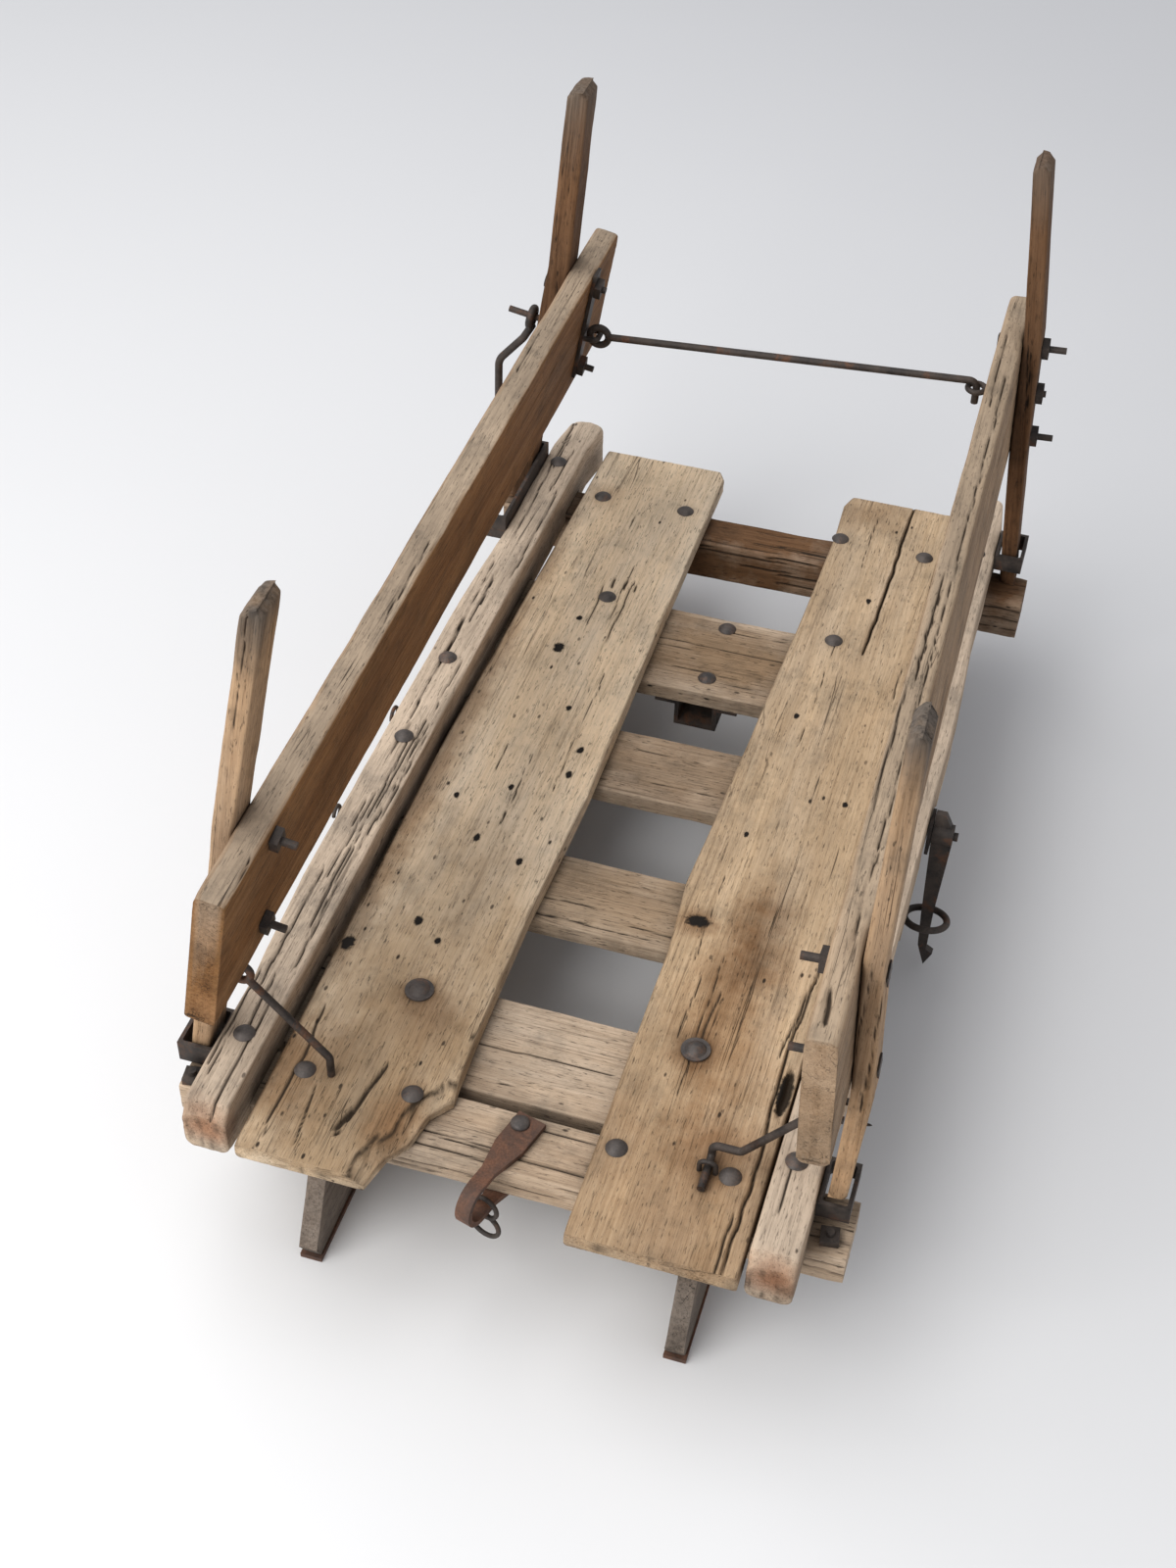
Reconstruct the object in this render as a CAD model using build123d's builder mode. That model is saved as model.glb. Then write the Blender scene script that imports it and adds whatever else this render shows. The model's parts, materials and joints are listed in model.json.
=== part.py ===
from build123d import *
from math import asin, degrees
import os

os.makedirs("parts", exist_ok=True)

# Heights above the floor, millimetres
DECK_TOP = 190.0
PLANK_T = 20.0
SILL_RISE = 25.0
SILL_H = 61.0
SLAT_T = 22.0
FRONT_BOLSTER_T = 38.0
REAR_BOLSTER_T = 56.0
SHOE_T = 6.0
RAIL_LIFT = 246.0
CROSS_TOP = DECK_TOP - PLANK_T
SILL_TOP = DECK_TOP + SILL_RISE
SILL_BOTTOM = SILL_TOP - SILL_H
SLAT_BOTTOM = CROSS_TOP - SLAT_T
FRONT_BOTTOM = CROSS_TOP - FRONT_BOLSTER_T
REAR_BOTTOM = CROSS_TOP - REAR_BOLSTER_T
RAIL_MID = DECK_TOP + RAIL_LIFT

# Lengths, measured back from the deck's front edge
BED_L = 1221.0
BED_FRONT = -620.0
SILL_FRONT = 10.0
SILL_TAIL = 21.0
SILL_REAR = BED_L + SILL_TAIL
FRONT_BOLSTER = (62.0, 134.0)
REAR_BOLSTER = (BED_L - 133.0, BED_L - 75.0)
NOTCH_FIT = 0.5
SLAT_FIRST = FRONT_BOLSTER[1] + 12.0
SLAT_LAST = REAR_BOLSTER[0] - 291.0
SLAT_RUN = SLAT_LAST - SLAT_FIRST
# share of the way from the first slat's front edge to the last one's, width of each slat
SLAT_TABLE = ((0.0, 122.0), (0.3625192, 104.0), (0.6989247, 104.0), (1.0, 147.0))
SLATS = tuple((SLAT_FIRST + s * SLAT_RUN, SLAT_FIRST + s * SLAT_RUN + wide) for s, wide in SLAT_TABLE)

# Widths, measured from the bed's middle
BED_HALF = 302.0
SILL_W = 46.0
SILL_BULGE = 8.0
SILL_NOSE = 12.0
PLANK_GAP = 8.0
PLANK_EDGE = BED_HALF - SILL_W - PLANK_GAP
# reach of each bolster to the left and to the right
FRONT_REACH = (BED_HALF + 31.0, BED_HALF + 38.0)
REAR_REACH = (BED_HALF + 41.0, BED_HALF + 45.0)
SLAT_HALF = BED_HALF - 6.0
RUNNER_T = 20.0
SHOE_W = 23.0
RUNNER_X = (116.0 - BED_HALF, BED_HALF - 106.0)

# Racks: rail and stake sizes, the lean of each side and its skew along the bed
RAIL_LEFT_T = 30.0
RAIL_RIGHT_T = 29.0
RAIL_H = 168.0
RAIL_ROUND = 9.0
RAIL_TOE_ROUND = 16.0
RAIL_LEFT_ENDS = (9.0, BED_L + 9.0)
RAIL_RIGHT_ENDS = (6.0, BED_L + 16.0)
RIGHT_LIFT = 6.0
RIGHT_PITCH = 0.75
STAKE_W = 44.0
STAKE_CROWN = 8.0
STAKE_THIN = 2.0
LEFT_INSET = 30.5
LEAN_LEFT = 0.176
LEAN_RIGHT = 0.047
SKEW_LEFT = 0.0105
SKEW_RIGHT = 0.0191
# the plane between each rail and its stakes: x to the rear, y up the lean, z to the right
LEFT_FACE = Plane(origin=(LEFT_INSET - BED_HALF, 0, RAIL_MID), x_dir=(-SKEW_LEFT, 1, 0),
                  z_dir=(1, SKEW_LEFT, -LEAN_LEFT))
RIGHT_FACE = Plane(origin=(BED_HALF, 0, RAIL_MID), x_dir=(-SKEW_RIGHT, 1, 0),
                   z_dir=(1, SKEW_RIGHT, LEAN_RIGHT))
LEFT_IN = 1
RIGHT_IN = -1

# Iron
BAND_T = 4.0
HEAD_R = 11.0
HEAD_H = 5.5
DOME_R = (HEAD_R ** 2 + HEAD_H ** 2) / (2 * HEAD_H)
DOME_FROM = degrees(asin(1 - HEAD_H / DOME_R))
FLUSH = 1.5
WASHER_R = 15.0
WASHER_H = 2.0
NUT = 18.0
NUT_H = 8.0
NUT_TURN = 20.0
THREAD_R = 4.0
WIRE_R = 4.5
EYE_R = 12.0
BAR_R = 3.5
BAR_OUT = 17.0
BAR_HALF = 11.0
BAR_BEND = 5.0
SEAT = 0.2
WIRE_SEAT = 0.85


def along(distance):
    return BED_FRONT + distance


def rack_point(face, into, distance, height, inward):
    offset = into * inward
    rise = (height - RAIL_MID - offset * face.z_dir.Z) / face.y_dir.Z
    return face.from_local_coords((along(distance), rise, offset))


# Deck planks in plan: x, distance from the deck's front edge
LEFT_PLANK = (
    (4 - PLANK_EDGE, 0), (-112, 0), (-103, 36), (-88, 58), (-81, 96), (-64, 118), (-67, 193),
    (-69, 373), (-64, 565), (-69, 878), (-71, BED_L - 16), (-79, BED_L), (10 - PLANK_EDGE, BED_L),
    (-2 - PLANK_EDGE, 620),
)
RIGHT_PLANK = (
    (85, 0), (PLANK_EDGE + 4, 0), (PLANK_EDGE + 4, 600), (PLANK_EDGE - 6, BED_L), (187, BED_L),
    (152, BED_L - 211), (182, BED_L), (99, BED_L), (93, BED_L - 22), (96, BED_L - 90), (93, BED_L - 259),
    (80, 560), (75, 470), (83, 369),
)
with BuildPart() as deck_plank_left:
    with BuildSketch(Plane.XY.offset(CROSS_TOP)):
        with Locations((0, BED_FRONT)):
            Polygon(*LEFT_PLANK, align=None)
    extrude(amount=PLANK_T)
with BuildPart() as deck_plank_right:
    with BuildSketch(Plane.XY.offset(CROSS_TOP)):
        with Locations((0, BED_FRONT)):
            Polygon(*RIGHT_PLANK, align=None)
    extrude(amount=PLANK_T)

# Bolsters and slats across the bed
BEAM_ALIGN = (Align.CENTER, Align.MIN, Align.MAX)
END_ALIGN = (Align.MIN, Align.MIN, Align.MAX)
with BuildPart() as front_bolster:
    with Locations((-FRONT_REACH[0], along(FRONT_BOLSTER[0]), CROSS_TOP)):
        Box(sum(FRONT_REACH), FRONT_BOLSTER[1] - FRONT_BOLSTER[0], FRONT_BOLSTER_T, align=END_ALIGN)
with BuildPart() as rear_bolster:
    with Locations((-REAR_REACH[0], along(REAR_BOLSTER[0]), CROSS_TOP)):
        Box(sum(REAR_REACH), REAR_BOLSTER[1] - REAR_BOLSTER[0], REAR_BOLSTER_T, align=END_ALIGN)
with BuildPart() as cross_slats:
    for slat_front, slat_rear in SLATS:
        with Locations((0, along(slat_front), CROSS_TOP)):
            Box(2 * SLAT_HALF, slat_rear - slat_front, SLAT_T, align=BEAM_ALIGN)

# Sills, outer faces bowed, gained over every cross member: x, distance from the deck's front edge
SILL_BOW = (
    (BED_HALF, SILL_FRONT), (BED_HALF, 0.153 * SILL_REAR), (BED_HALF + SILL_BULGE, 0.266 * SILL_REAR),
    (BED_HALF + SILL_BULGE, 0.66 * SILL_REAR), (BED_HALF, SILL_REAR - 260.82), (BED_HALF, SILL_REAR - 62.1),
    (BED_HALF - SILL_BULGE, SILL_REAR),
)
SILL_TAIL_ROUND = 9.0


def sill_outline(side):
    outer = [(side * x, distance) for x, distance in SILL_BOW]
    inner = [(side * (min(x, BED_HALF) - SILL_W), distance) for x, distance in reversed(SILL_BOW)]
    return outer + inner


with BuildPart() as sill_left:
    with BuildSketch(Plane.XY.offset(SILL_BOTTOM)):
        with Locations((0, BED_FRONT)):
            Polygon(*sill_outline(-1), align=None)
    extrude(amount=SILL_H)
    chamfer(sill_left.edges().group_by(Axis.Y)[0].sort_by(Axis.Z)[-1], SILL_NOSE)
    fillet(sill_left.edges().filter_by(Axis.Z).group_by(Axis.Y)[-1], SILL_TAIL_ROUND)
    for cross_front, cross_rear in (FRONT_BOLSTER, REAR_BOLSTER) + SLATS:
        gain = cross_rear - cross_front + 2 * NOTCH_FIT
        with Locations((-BED_HALF, along(cross_front) - NOTCH_FIT, CROSS_TOP)):
            Box(4 * SILL_W, gain, SILL_H, align=BEAM_ALIGN, mode=Mode.SUBTRACT)
with BuildPart() as sill_right:
    with BuildSketch(Plane.XY.offset(SILL_BOTTOM)):
        with Locations((0, BED_FRONT)):
            Polygon(*sill_outline(1), align=None)
    extrude(amount=SILL_H)
    chamfer(sill_right.edges().group_by(Axis.Y)[0].sort_by(Axis.Z)[-1], SILL_NOSE)
    fillet(sill_right.edges().filter_by(Axis.Z).group_by(Axis.Y)[-1], SILL_TAIL_ROUND)
    for cross_front, cross_rear in (FRONT_BOLSTER, REAR_BOLSTER) + SLATS:
        gain = cross_rear - cross_front + 2 * NOTCH_FIT
        with Locations((BED_HALF, along(cross_front) - NOTCH_FIT, CROSS_TOP)):
            Box(4 * SILL_W, gain, SILL_H, align=BEAM_ALIGN, mode=Mode.SUBTRACT)

# Runners: boards on edge, shouldered under the bolsters, ends raked out to the foot
TOE = 12.0
HEEL = BED_L - 25.0
TOE_CUT = 9.0
RAKE = 54.0
SHOULDER_FRONT = FRONT_BOLSTER[1] + NOTCH_FIT
SHOULDER_REAR = REAR_BOLSTER[0] - NOTCH_FIT
# distance from the deck's front edge, height
RUNNER_SIDE = (
    (TOE + RAKE, FRONT_BOTTOM), (SHOULDER_FRONT, FRONT_BOTTOM), (SHOULDER_FRONT, SLAT_BOTTOM),
    (SHOULDER_REAR, SLAT_BOTTOM), (SHOULDER_REAR, REAR_BOTTOM), (HEEL - RAKE, REAR_BOTTOM),
    (HEEL, SHOE_T + 2 * TOE_CUT), (HEEL - TOE_CUT, SHOE_T),
    (TOE + TOE_CUT, SHOE_T), (TOE, SHOE_T + 2 * TOE_CUT),
)
SHOE_L = HEEL - TOE - TOE_CUT
RUNNER_PLANES = [Plane(origin=(x - RUNNER_T / 2, 0, 0), x_dir=(0, 1, 0), z_dir=(1, 0, 0)) for x in RUNNER_X]
with BuildPart() as runner_left:
    with BuildSketch(RUNNER_PLANES[0]):
        with Locations((BED_FRONT, 0)):
            Polygon(*RUNNER_SIDE, align=None)
    extrude(amount=RUNNER_T)
with BuildPart() as runner_right:
    with BuildSketch(RUNNER_PLANES[1]):
        with Locations((BED_FRONT, 0)):
            Polygon(*RUNNER_SIDE, align=None)
    extrude(amount=RUNNER_T)
with BuildPart() as shoe_left:
    with Locations((RUNNER_X[0], along((TOE + HEEL) / 2), 0)):
        Box(SHOE_W, SHOE_L, SHOE_T, align=(Align.CENTER, Align.CENTER, Align.MIN))
with BuildPart() as shoe_right:
    with Locations((RUNNER_X[1], along((TOE + HEEL) / 2), 0)):
        Box(SHOE_W, SHOE_L, SHOE_T, align=(Align.CENTER, Align.CENTER, Align.MIN))

# Rails: side view drawn on the rack's face, thickened inwards, corners worn round
with BuildPart() as rail_left:
    with BuildSketch(LEFT_FACE) as left_board:
        with Locations((along(sum(RAIL_LEFT_ENDS) / 2), 0)):
            Rectangle(RAIL_LEFT_ENDS[1] - RAIL_LEFT_ENDS[0], RAIL_H)
        fillet(left_board.vertices().sort_by(Axis.X)[2:].sort_by(Axis.Y)[-1], RAIL_ROUND)
    extrude(amount=RAIL_LEFT_T)
with BuildPart() as rail_right:
    with BuildSketch(RIGHT_FACE) as right_board:
        with Locations(Location((along(sum(RAIL_RIGHT_ENDS) / 2), RIGHT_LIFT, 0), (0, 0, -RIGHT_PITCH))):
            Rectangle(RAIL_RIGHT_ENDS[1] - RAIL_RIGHT_ENDS[0], RAIL_H)
        fillet(right_board.vertices().sort_by(Axis.X)[2:].sort_by(Axis.Y)[-1], RAIL_ROUND)
        fillet(right_board.vertices().sort_by(Axis.X)[:2].sort_by(Axis.Y)[0], RAIL_TOE_ROUND)
    extrude(amount=-RAIL_RIGHT_T)

# Stakes, straight against the rail, warped below and above it
# distance, thickness, foot offset, foot height, top offset, top height; offsets run out from the rack's face
STAKE_LF = (115.0, 22.5, 50.0, CROSS_TOP, -66.0, DECK_TOP + 584)
STAKE_LR = (BED_L - 93.0, 27.0, 40.0, CROSS_TOP, -35.0, DECK_TOP + 558)
STAKE_RF = (122.0, 20.5, -2.0, DECK_TOP + 18, 2.0, DECK_TOP + 594)
STAKE_RR = (BED_L - 75.0, 22.0, 20.0, CROSS_TOP, -27.0, DECK_TOP + 546)
KNEE = RAIL_H / 2


def stake_plane(face, into, distance):
    outward = face.x_dir.cross(Vector(0, 0, -into))
    origin = face.from_local_coords((along(distance), 0, 0))
    return Plane(origin=origin, x_dir=outward, z_dir=outward.cross(Vector(0, 0, 1)))


def stake_section(lean, distance, thick, foot, foot_z, top, top_z):
    low, high = foot_z - RAIL_MID, top_z - RAIL_MID
    return [
        (foot, low), (lean * KNEE, -KNEE), (-lean * KNEE, KNEE), (top, high - STAKE_CROWN),
        (top + STAKE_CROWN * 0.75, high), (top + thick - STAKE_CROWN, high),
        (top + thick - 1, high - STAKE_CROWN), (thick - lean * KNEE, KNEE), (thick + lean * KNEE, -KNEE),
        (foot + thick - STAKE_THIN, low),
    ]


with BuildPart() as stake_left_front:
    with BuildSketch(stake_plane(LEFT_FACE, LEFT_IN, STAKE_LF[0])):
        Polygon(*stake_section(LEAN_LEFT, *STAKE_LF), align=None)
    extrude(amount=STAKE_W / 2, both=True)
with BuildPart() as stake_left_rear:
    with BuildSketch(stake_plane(LEFT_FACE, LEFT_IN, STAKE_LR[0])):
        Polygon(*stake_section(LEAN_LEFT, *STAKE_LR), align=None)
    extrude(amount=STAKE_W / 2, both=True)
with BuildPart() as stake_right_front:
    with BuildSketch(stake_plane(RIGHT_FACE, RIGHT_IN, STAKE_RF[0])):
        Polygon(*stake_section(LEAN_RIGHT, *STAKE_RF), align=None)
    extrude(amount=STAKE_W / 2, both=True)
with BuildPart() as stake_right_rear:
    with BuildSketch(stake_plane(RIGHT_FACE, RIGHT_IN, STAKE_RR[0])):
        Polygon(*stake_section(LEAN_RIGHT, *STAKE_RR), align=None)
    extrude(amount=STAKE_W / 2, both=True)

# Stake pockets: flat iron loops on the sills' outer faces
# front, rear, reach out from the sill, bottom height, band height
LEFT_BANDS = (
    (87.0, 143.0, 40.0, DECK_TOP - 12, 26.0), (BED_L - 244.0, BED_L - 65.0, 43.0, DECK_TOP + 8, 34.0),
)
RIGHT_BANDS = (
    (94.0, 150.0, 32.0, DECK_TOP - 6, 20.0), (BED_L - 102.0, BED_L - 47.0, 35.0, DECK_TOP + 4, 22.0),
)
BAND_ROUND = 5.0
with BuildPart() as stake_pockets_left:
    for band_front, band_rear, reach, band_z, band_h in LEFT_BANDS:
        with BuildSketch(Plane.XY.offset(band_z)):
            with Locations((-BED_HALF - SEAT, along(band_front))):
                Rectangle(reach, band_rear - band_front, align=(Align.MAX, Align.MIN))
            with Locations((-BED_HALF - SEAT - BAND_T, along(band_front) + BAND_T)):
                RectangleRounded(reach - 2 * BAND_T, band_rear - band_front - 2 * BAND_T, BAND_ROUND / 2,
                                 align=(Align.MAX, Align.MIN), mode=Mode.SUBTRACT)
        extrude(amount=band_h)
with BuildPart() as stake_pockets_right:
    for band_front, band_rear, reach, band_z, band_h in RIGHT_BANDS:
        with BuildSketch(Plane.XY.offset(band_z)):
            with Locations((BED_HALF + SEAT, along(band_front))):
                Rectangle(reach, band_rear - band_front, align=(Align.MIN, Align.MIN))
            with Locations((BED_HALF + SEAT + BAND_T, along(band_front) + BAND_T)):
                RectangleRounded(reach - 2 * BAND_T, band_rear - band_front - 2 * BAND_T, BAND_ROUND / 2,
                                 align=(Align.MIN, Align.MIN), mode=Mode.SUBTRACT)
        extrude(amount=band_h)

# Carriage-bolt heads: x, distance from the deck's front edge, washer thickness under the head
DECK_BOLTS = (
    (34 - PLANK_EDGE, BED_L - 104, 0), (-102, BED_L - 101, 0), (-147, SLAT_LAST + 118, 0),
    (-143, SLAT_FIRST + 89, WASHER_H), (34 - PLANK_EDGE, 104, 0), (-103, 108, 0),
    (104, BED_L - 95, 0), (PLANK_EDGE - 33, BED_L - 101, 0), (140, SLAT_LAST + 123, 0),
    (146, SLAT_FIRST + 100, WASHER_H), (105, 107, 0), (PLANK_EDGE - 31, 108, 0),
)
# x, distance from the deck's front edge
SILL_BOLTS = (
    (19 - BED_HALF, BED_L - 81), (17 - BED_HALF, 714), (17 - BED_HALF, 568), (23 - BED_HALF, 110),
    (BED_HALF - 27, 126), (BED_HALF - 17, 650), (BED_HALF - 23, BED_L - 104),
)
SLAT_BOLTS = ((6, SLAT_LAST + 128), (6, SLAT_LAST + 29))
ON_TOP = (Align.CENTER, Align.CENTER, Align.MIN)
with BuildPart() as deck_bolts:
    for bolt_x, bolt_y, washer in DECK_BOLTS:
        with Locations((bolt_x, along(bolt_y), DECK_TOP + washer)):
            Sphere(DOME_R, arc_size1=DOME_FROM, align=ON_TOP)
        if washer:
            with Locations((bolt_x, along(bolt_y), DECK_TOP)):
                Cylinder(WASHER_R, washer, align=ON_TOP)
with BuildPart() as sill_bolts:
    for bolt_x, bolt_y in SILL_BOLTS:
        with Locations((bolt_x, along(bolt_y), SILL_TOP)):
            Sphere(DOME_R, arc_size1=DOME_FROM, align=ON_TOP)
with BuildPart() as slat_bolts:
    for bolt_x, bolt_y in SLAT_BOLTS:
        with Locations((bolt_x, along(bolt_y), CROSS_TOP)):
            Sphere(DOME_R, arc_size1=DOME_FROM, align=ON_TOP)

# Square nuts on the front bolster's ends, by the stake pockets: x, distance from the deck's front edge
BOLSTER_NUTS = ((-BED_HALF - 20, 74), (BED_HALF + 18, 82))
BOLSTER_NUT_TURN = 8.0
with BuildPart() as bolster_nuts:
    for nut_x, nut_y in BOLSTER_NUTS:
        with BuildSketch(Plane.XY.offset(CROSS_TOP)):
            with Locations((nut_x, along(nut_y))):
                Rectangle(NUT, NUT, rotation=BOLSTER_NUT_TURN)
        extrude(amount=NUT_H)
        with BuildSketch(Plane.XY.offset(CROSS_TOP)):
            with Locations((nut_x, along(nut_y))):
                Circle(THREAD_R)
        extrude(amount=NUT_H + HEAD_H)

# Flat iron plate on the left rail's inner face, behind the tie rod's eye
PLATE_W = 22.0
PLATE_L = 150.0
PLATE_T = 4.0
PLATE_Y = BED_L - 99.0
PLATE_Z = DECK_TOP + 252.0


def rack_plane(face, into, distance, height, inward, facing):
    spot = rack_point(face, into, distance, height, inward)
    return Plane(origin=spot, x_dir=face.x_dir, z_dir=face.z_dir * facing)


with BuildPart() as rail_plate:
    with BuildSketch(rack_plane(LEFT_FACE, LEFT_IN, PLATE_Y, PLATE_Z, RAIL_LEFT_T + SEAT, 1)):
        Rectangle(PLATE_W, PLATE_L)
    extrude(amount=PLATE_T)

# Rack bolts: square nuts or flat heads, with or without a thread end, inside the rails and outside the stakes
PLATE_FACE = RAIL_LEFT_T + PLATE_T + 2 * SEAT
LEFT_SEAT = RAIL_LEFT_T + SEAT
RIGHT_SEAT = RAIL_RIGHT_T + SEAT
# distance, height, seat inside, nut inside, thread inside, stake thickness, nut outside, thread outside
LEFT_RACK_BOLTS = (
    (STAKE_LF[0], DECK_TOP + 307, LEFT_SEAT, NUT_H, 15.0, STAKE_LF[1], FLUSH, 0),
    (STAKE_LF[0], DECK_TOP + 192, LEFT_SEAT, NUT_H, 15.0, STAKE_LF[1], FLUSH, 0),
    (PLATE_Y, DECK_TOP + 304, PLATE_FACE, NUT_H, 5.0, STAKE_LR[1], FLUSH, 0),
    (PLATE_Y, DECK_TOP + 191, PLATE_FACE, NUT_H, 11.0, STAKE_LR[1], FLUSH, 0),
)
RIGHT_RACK_BOLTS = (
    (STAKE_RF[0], DECK_TOP + 312, RIGHT_SEAT, NUT_H, 17.0, STAKE_RF[1], FLUSH, 0),
    (STAKE_RF[0], DECK_TOP + 193, RIGHT_SEAT, NUT_H, 23.0, STAKE_RF[1], FLUSH, 0),
    (STAKE_RR[0], DECK_TOP + 312, RIGHT_SEAT, FLUSH, 0, STAKE_RR[1], NUT_H, 20.0),
    (STAKE_RR[0], DECK_TOP + 251, RIGHT_SEAT, FLUSH, 0, STAKE_RR[1], NUT_H, 3.0),
    (STAKE_RR[0], DECK_TOP + 191, RIGHT_SEAT, FLUSH, 0, STAKE_RR[1], NUT_H, 18.0),
)
with BuildPart() as rack_bolts_left:
    for bolt_y, bolt_z, seat_in, nut_in, thread_in, thick, nut_out, thread_out in LEFT_RACK_BOLTS:
        with BuildSketch(rack_plane(LEFT_FACE, LEFT_IN, bolt_y, bolt_z, seat_in, LEFT_IN)):
            Rectangle(NUT, NUT, rotation=NUT_TURN)
        extrude(amount=nut_in)
        with BuildSketch(rack_plane(LEFT_FACE, LEFT_IN, bolt_y, bolt_z, seat_in, LEFT_IN)):
            Circle(THREAD_R)
        extrude(amount=nut_in + thread_in)
        with BuildSketch(rack_plane(LEFT_FACE, LEFT_IN, bolt_y, bolt_z, -thick - SEAT, -LEFT_IN)):
            Circle(NUT / 2)
        extrude(amount=nut_out + thread_out)
with BuildPart() as rack_bolts_right:
    for bolt_y, bolt_z, seat_in, nut_in, thread_in, thick, nut_out, thread_out in RIGHT_RACK_BOLTS:
        with BuildSketch(rack_plane(RIGHT_FACE, RIGHT_IN, bolt_y, bolt_z, seat_in, RIGHT_IN)):
            Rectangle(NUT, NUT, rotation=NUT_TURN)
        extrude(amount=nut_in)
        with BuildSketch(rack_plane(RIGHT_FACE, RIGHT_IN, bolt_y, bolt_z, seat_in, RIGHT_IN)):
            Circle(THREAD_R)
        extrude(amount=nut_in + thread_in)
        with BuildSketch(rack_plane(RIGHT_FACE, RIGHT_IN, bolt_y, bolt_z, -thick - SEAT, -RIGHT_IN)):
            Rectangle(NUT, NUT, rotation=NUT_TURN)
        extrude(amount=nut_out)
        with BuildSketch(rack_plane(RIGHT_FACE, RIGHT_IN, bolt_y, bolt_z, -thick - SEAT, -RIGHT_IN)):
            Circle(THREAD_R)
        extrude(amount=nut_out + thread_out)

# Tie rod across the rear of the bed: bar on the plate, eye, rod, down-turned tip in a keeper ring
ROD_Y = PLATE_Y
ROD_FAR_Y = STAKE_RR[0]
ROD_LOW = DECK_TOP + 237.0
ROD_HIGH = DECK_TOP + 254.0
ROD_BEND = 10.0
TIP_DROP = 30.0
KEEPER_R = 10.5
KEEPER_WIRE = 3.5
KEEPER_FIT = 6.0
KEEPER_DROP = 1.6
ROD_PIVOT = rack_point(LEFT_FACE, LEFT_IN, ROD_Y, ROD_LOW, PLATE_FACE + BAR_OUT)
KEEPER_IN = RAIL_RIGHT_T + KEEPER_R + KEEPER_WIRE + KEEPER_FIT
KEEPER_SPOT = rack_point(RIGHT_FACE, RIGHT_IN, ROD_FAR_Y, ROD_HIGH, KEEPER_IN)
KEEPER_AT = Vector(KEEPER_SPOT.X, KEEPER_SPOT.Y, ROD_HIGH - WIRE_R - KEEPER_WIRE - KEEPER_DROP)
ROD_WAY = Vector(KEEPER_AT.X, KEEPER_AT.Y, ROD_HIGH) - ROD_PIVOT
ROD_START = ROD_PIVOT + ROD_WAY.normalized() * EYE_R
BAR_ENDS = [
    rack_point(LEFT_FACE, LEFT_IN, ROD_Y - BAR_HALF, ROD_LOW, PLATE_FACE + WIRE_SEAT),
    rack_point(LEFT_FACE, LEFT_IN, ROD_Y - BAR_HALF, ROD_LOW, PLATE_FACE + BAR_OUT),
    rack_point(LEFT_FACE, LEFT_IN, ROD_Y + BAR_HALF, ROD_LOW, PLATE_FACE + BAR_OUT),
    rack_point(LEFT_FACE, LEFT_IN, ROD_Y + BAR_HALF, ROD_LOW, PLATE_FACE + WIRE_SEAT),
]
with BuildPart() as tie_rod_bar:
    with BuildLine():
        FilletPolyline(*BAR_ENDS, radius=BAR_BEND)
    with BuildSketch(Plane(origin=BAR_ENDS[0], z_dir=BAR_ENDS[1] - BAR_ENDS[0])):
        Circle(BAR_R)
    sweep()
with BuildPart() as tie_rod:
    with Locations(Plane(origin=ROD_PIVOT, x_dir=(1, 0, 0), z_dir=LEFT_FACE.x_dir)):
        Torus(EYE_R, WIRE_R)
    with BuildLine():
        FilletPolyline(ROD_START, (KEEPER_AT.X, KEEPER_AT.Y, ROD_HIGH),
                       (KEEPER_AT.X, KEEPER_AT.Y, ROD_HIGH - TIP_DROP), radius=ROD_BEND)
    with BuildSketch(Plane(origin=ROD_START, z_dir=ROD_WAY)):
        Circle(WIRE_R)
    sweep()
with BuildPart() as tie_rod_keeper:
    with Locations(KEEPER_AT):
        Torus(KEEPER_R, KEEPER_WIRE)
    with Locations(Location((KEEPER_AT.X + KEEPER_R, KEEPER_AT.Y, KEEPER_AT.Z), (0, 90, 0))):
        Cylinder(KEEPER_WIRE, KEEPER_WIRE + KEEPER_FIT / 2, align=ON_TOP)

# Iron hook hung outside the left rear stake on the eye bolt's long thread end
GRIP_WIRE = 5.0
GRIP_EYE = 11.0
GRIP_OFF = 10.0
GRIP_BOLT = 40.0
GRIP_BEND = 24.0
GRIP_HEIGHT = DECK_TOP + 248.0
GRIP_PLANE = stake_plane(LEFT_FACE, LEFT_IN, ROD_Y)
GRIP_FACE = STAKE_LR[1] - LEAN_LEFT * (GRIP_HEIGHT - RAIL_MID)
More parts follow.
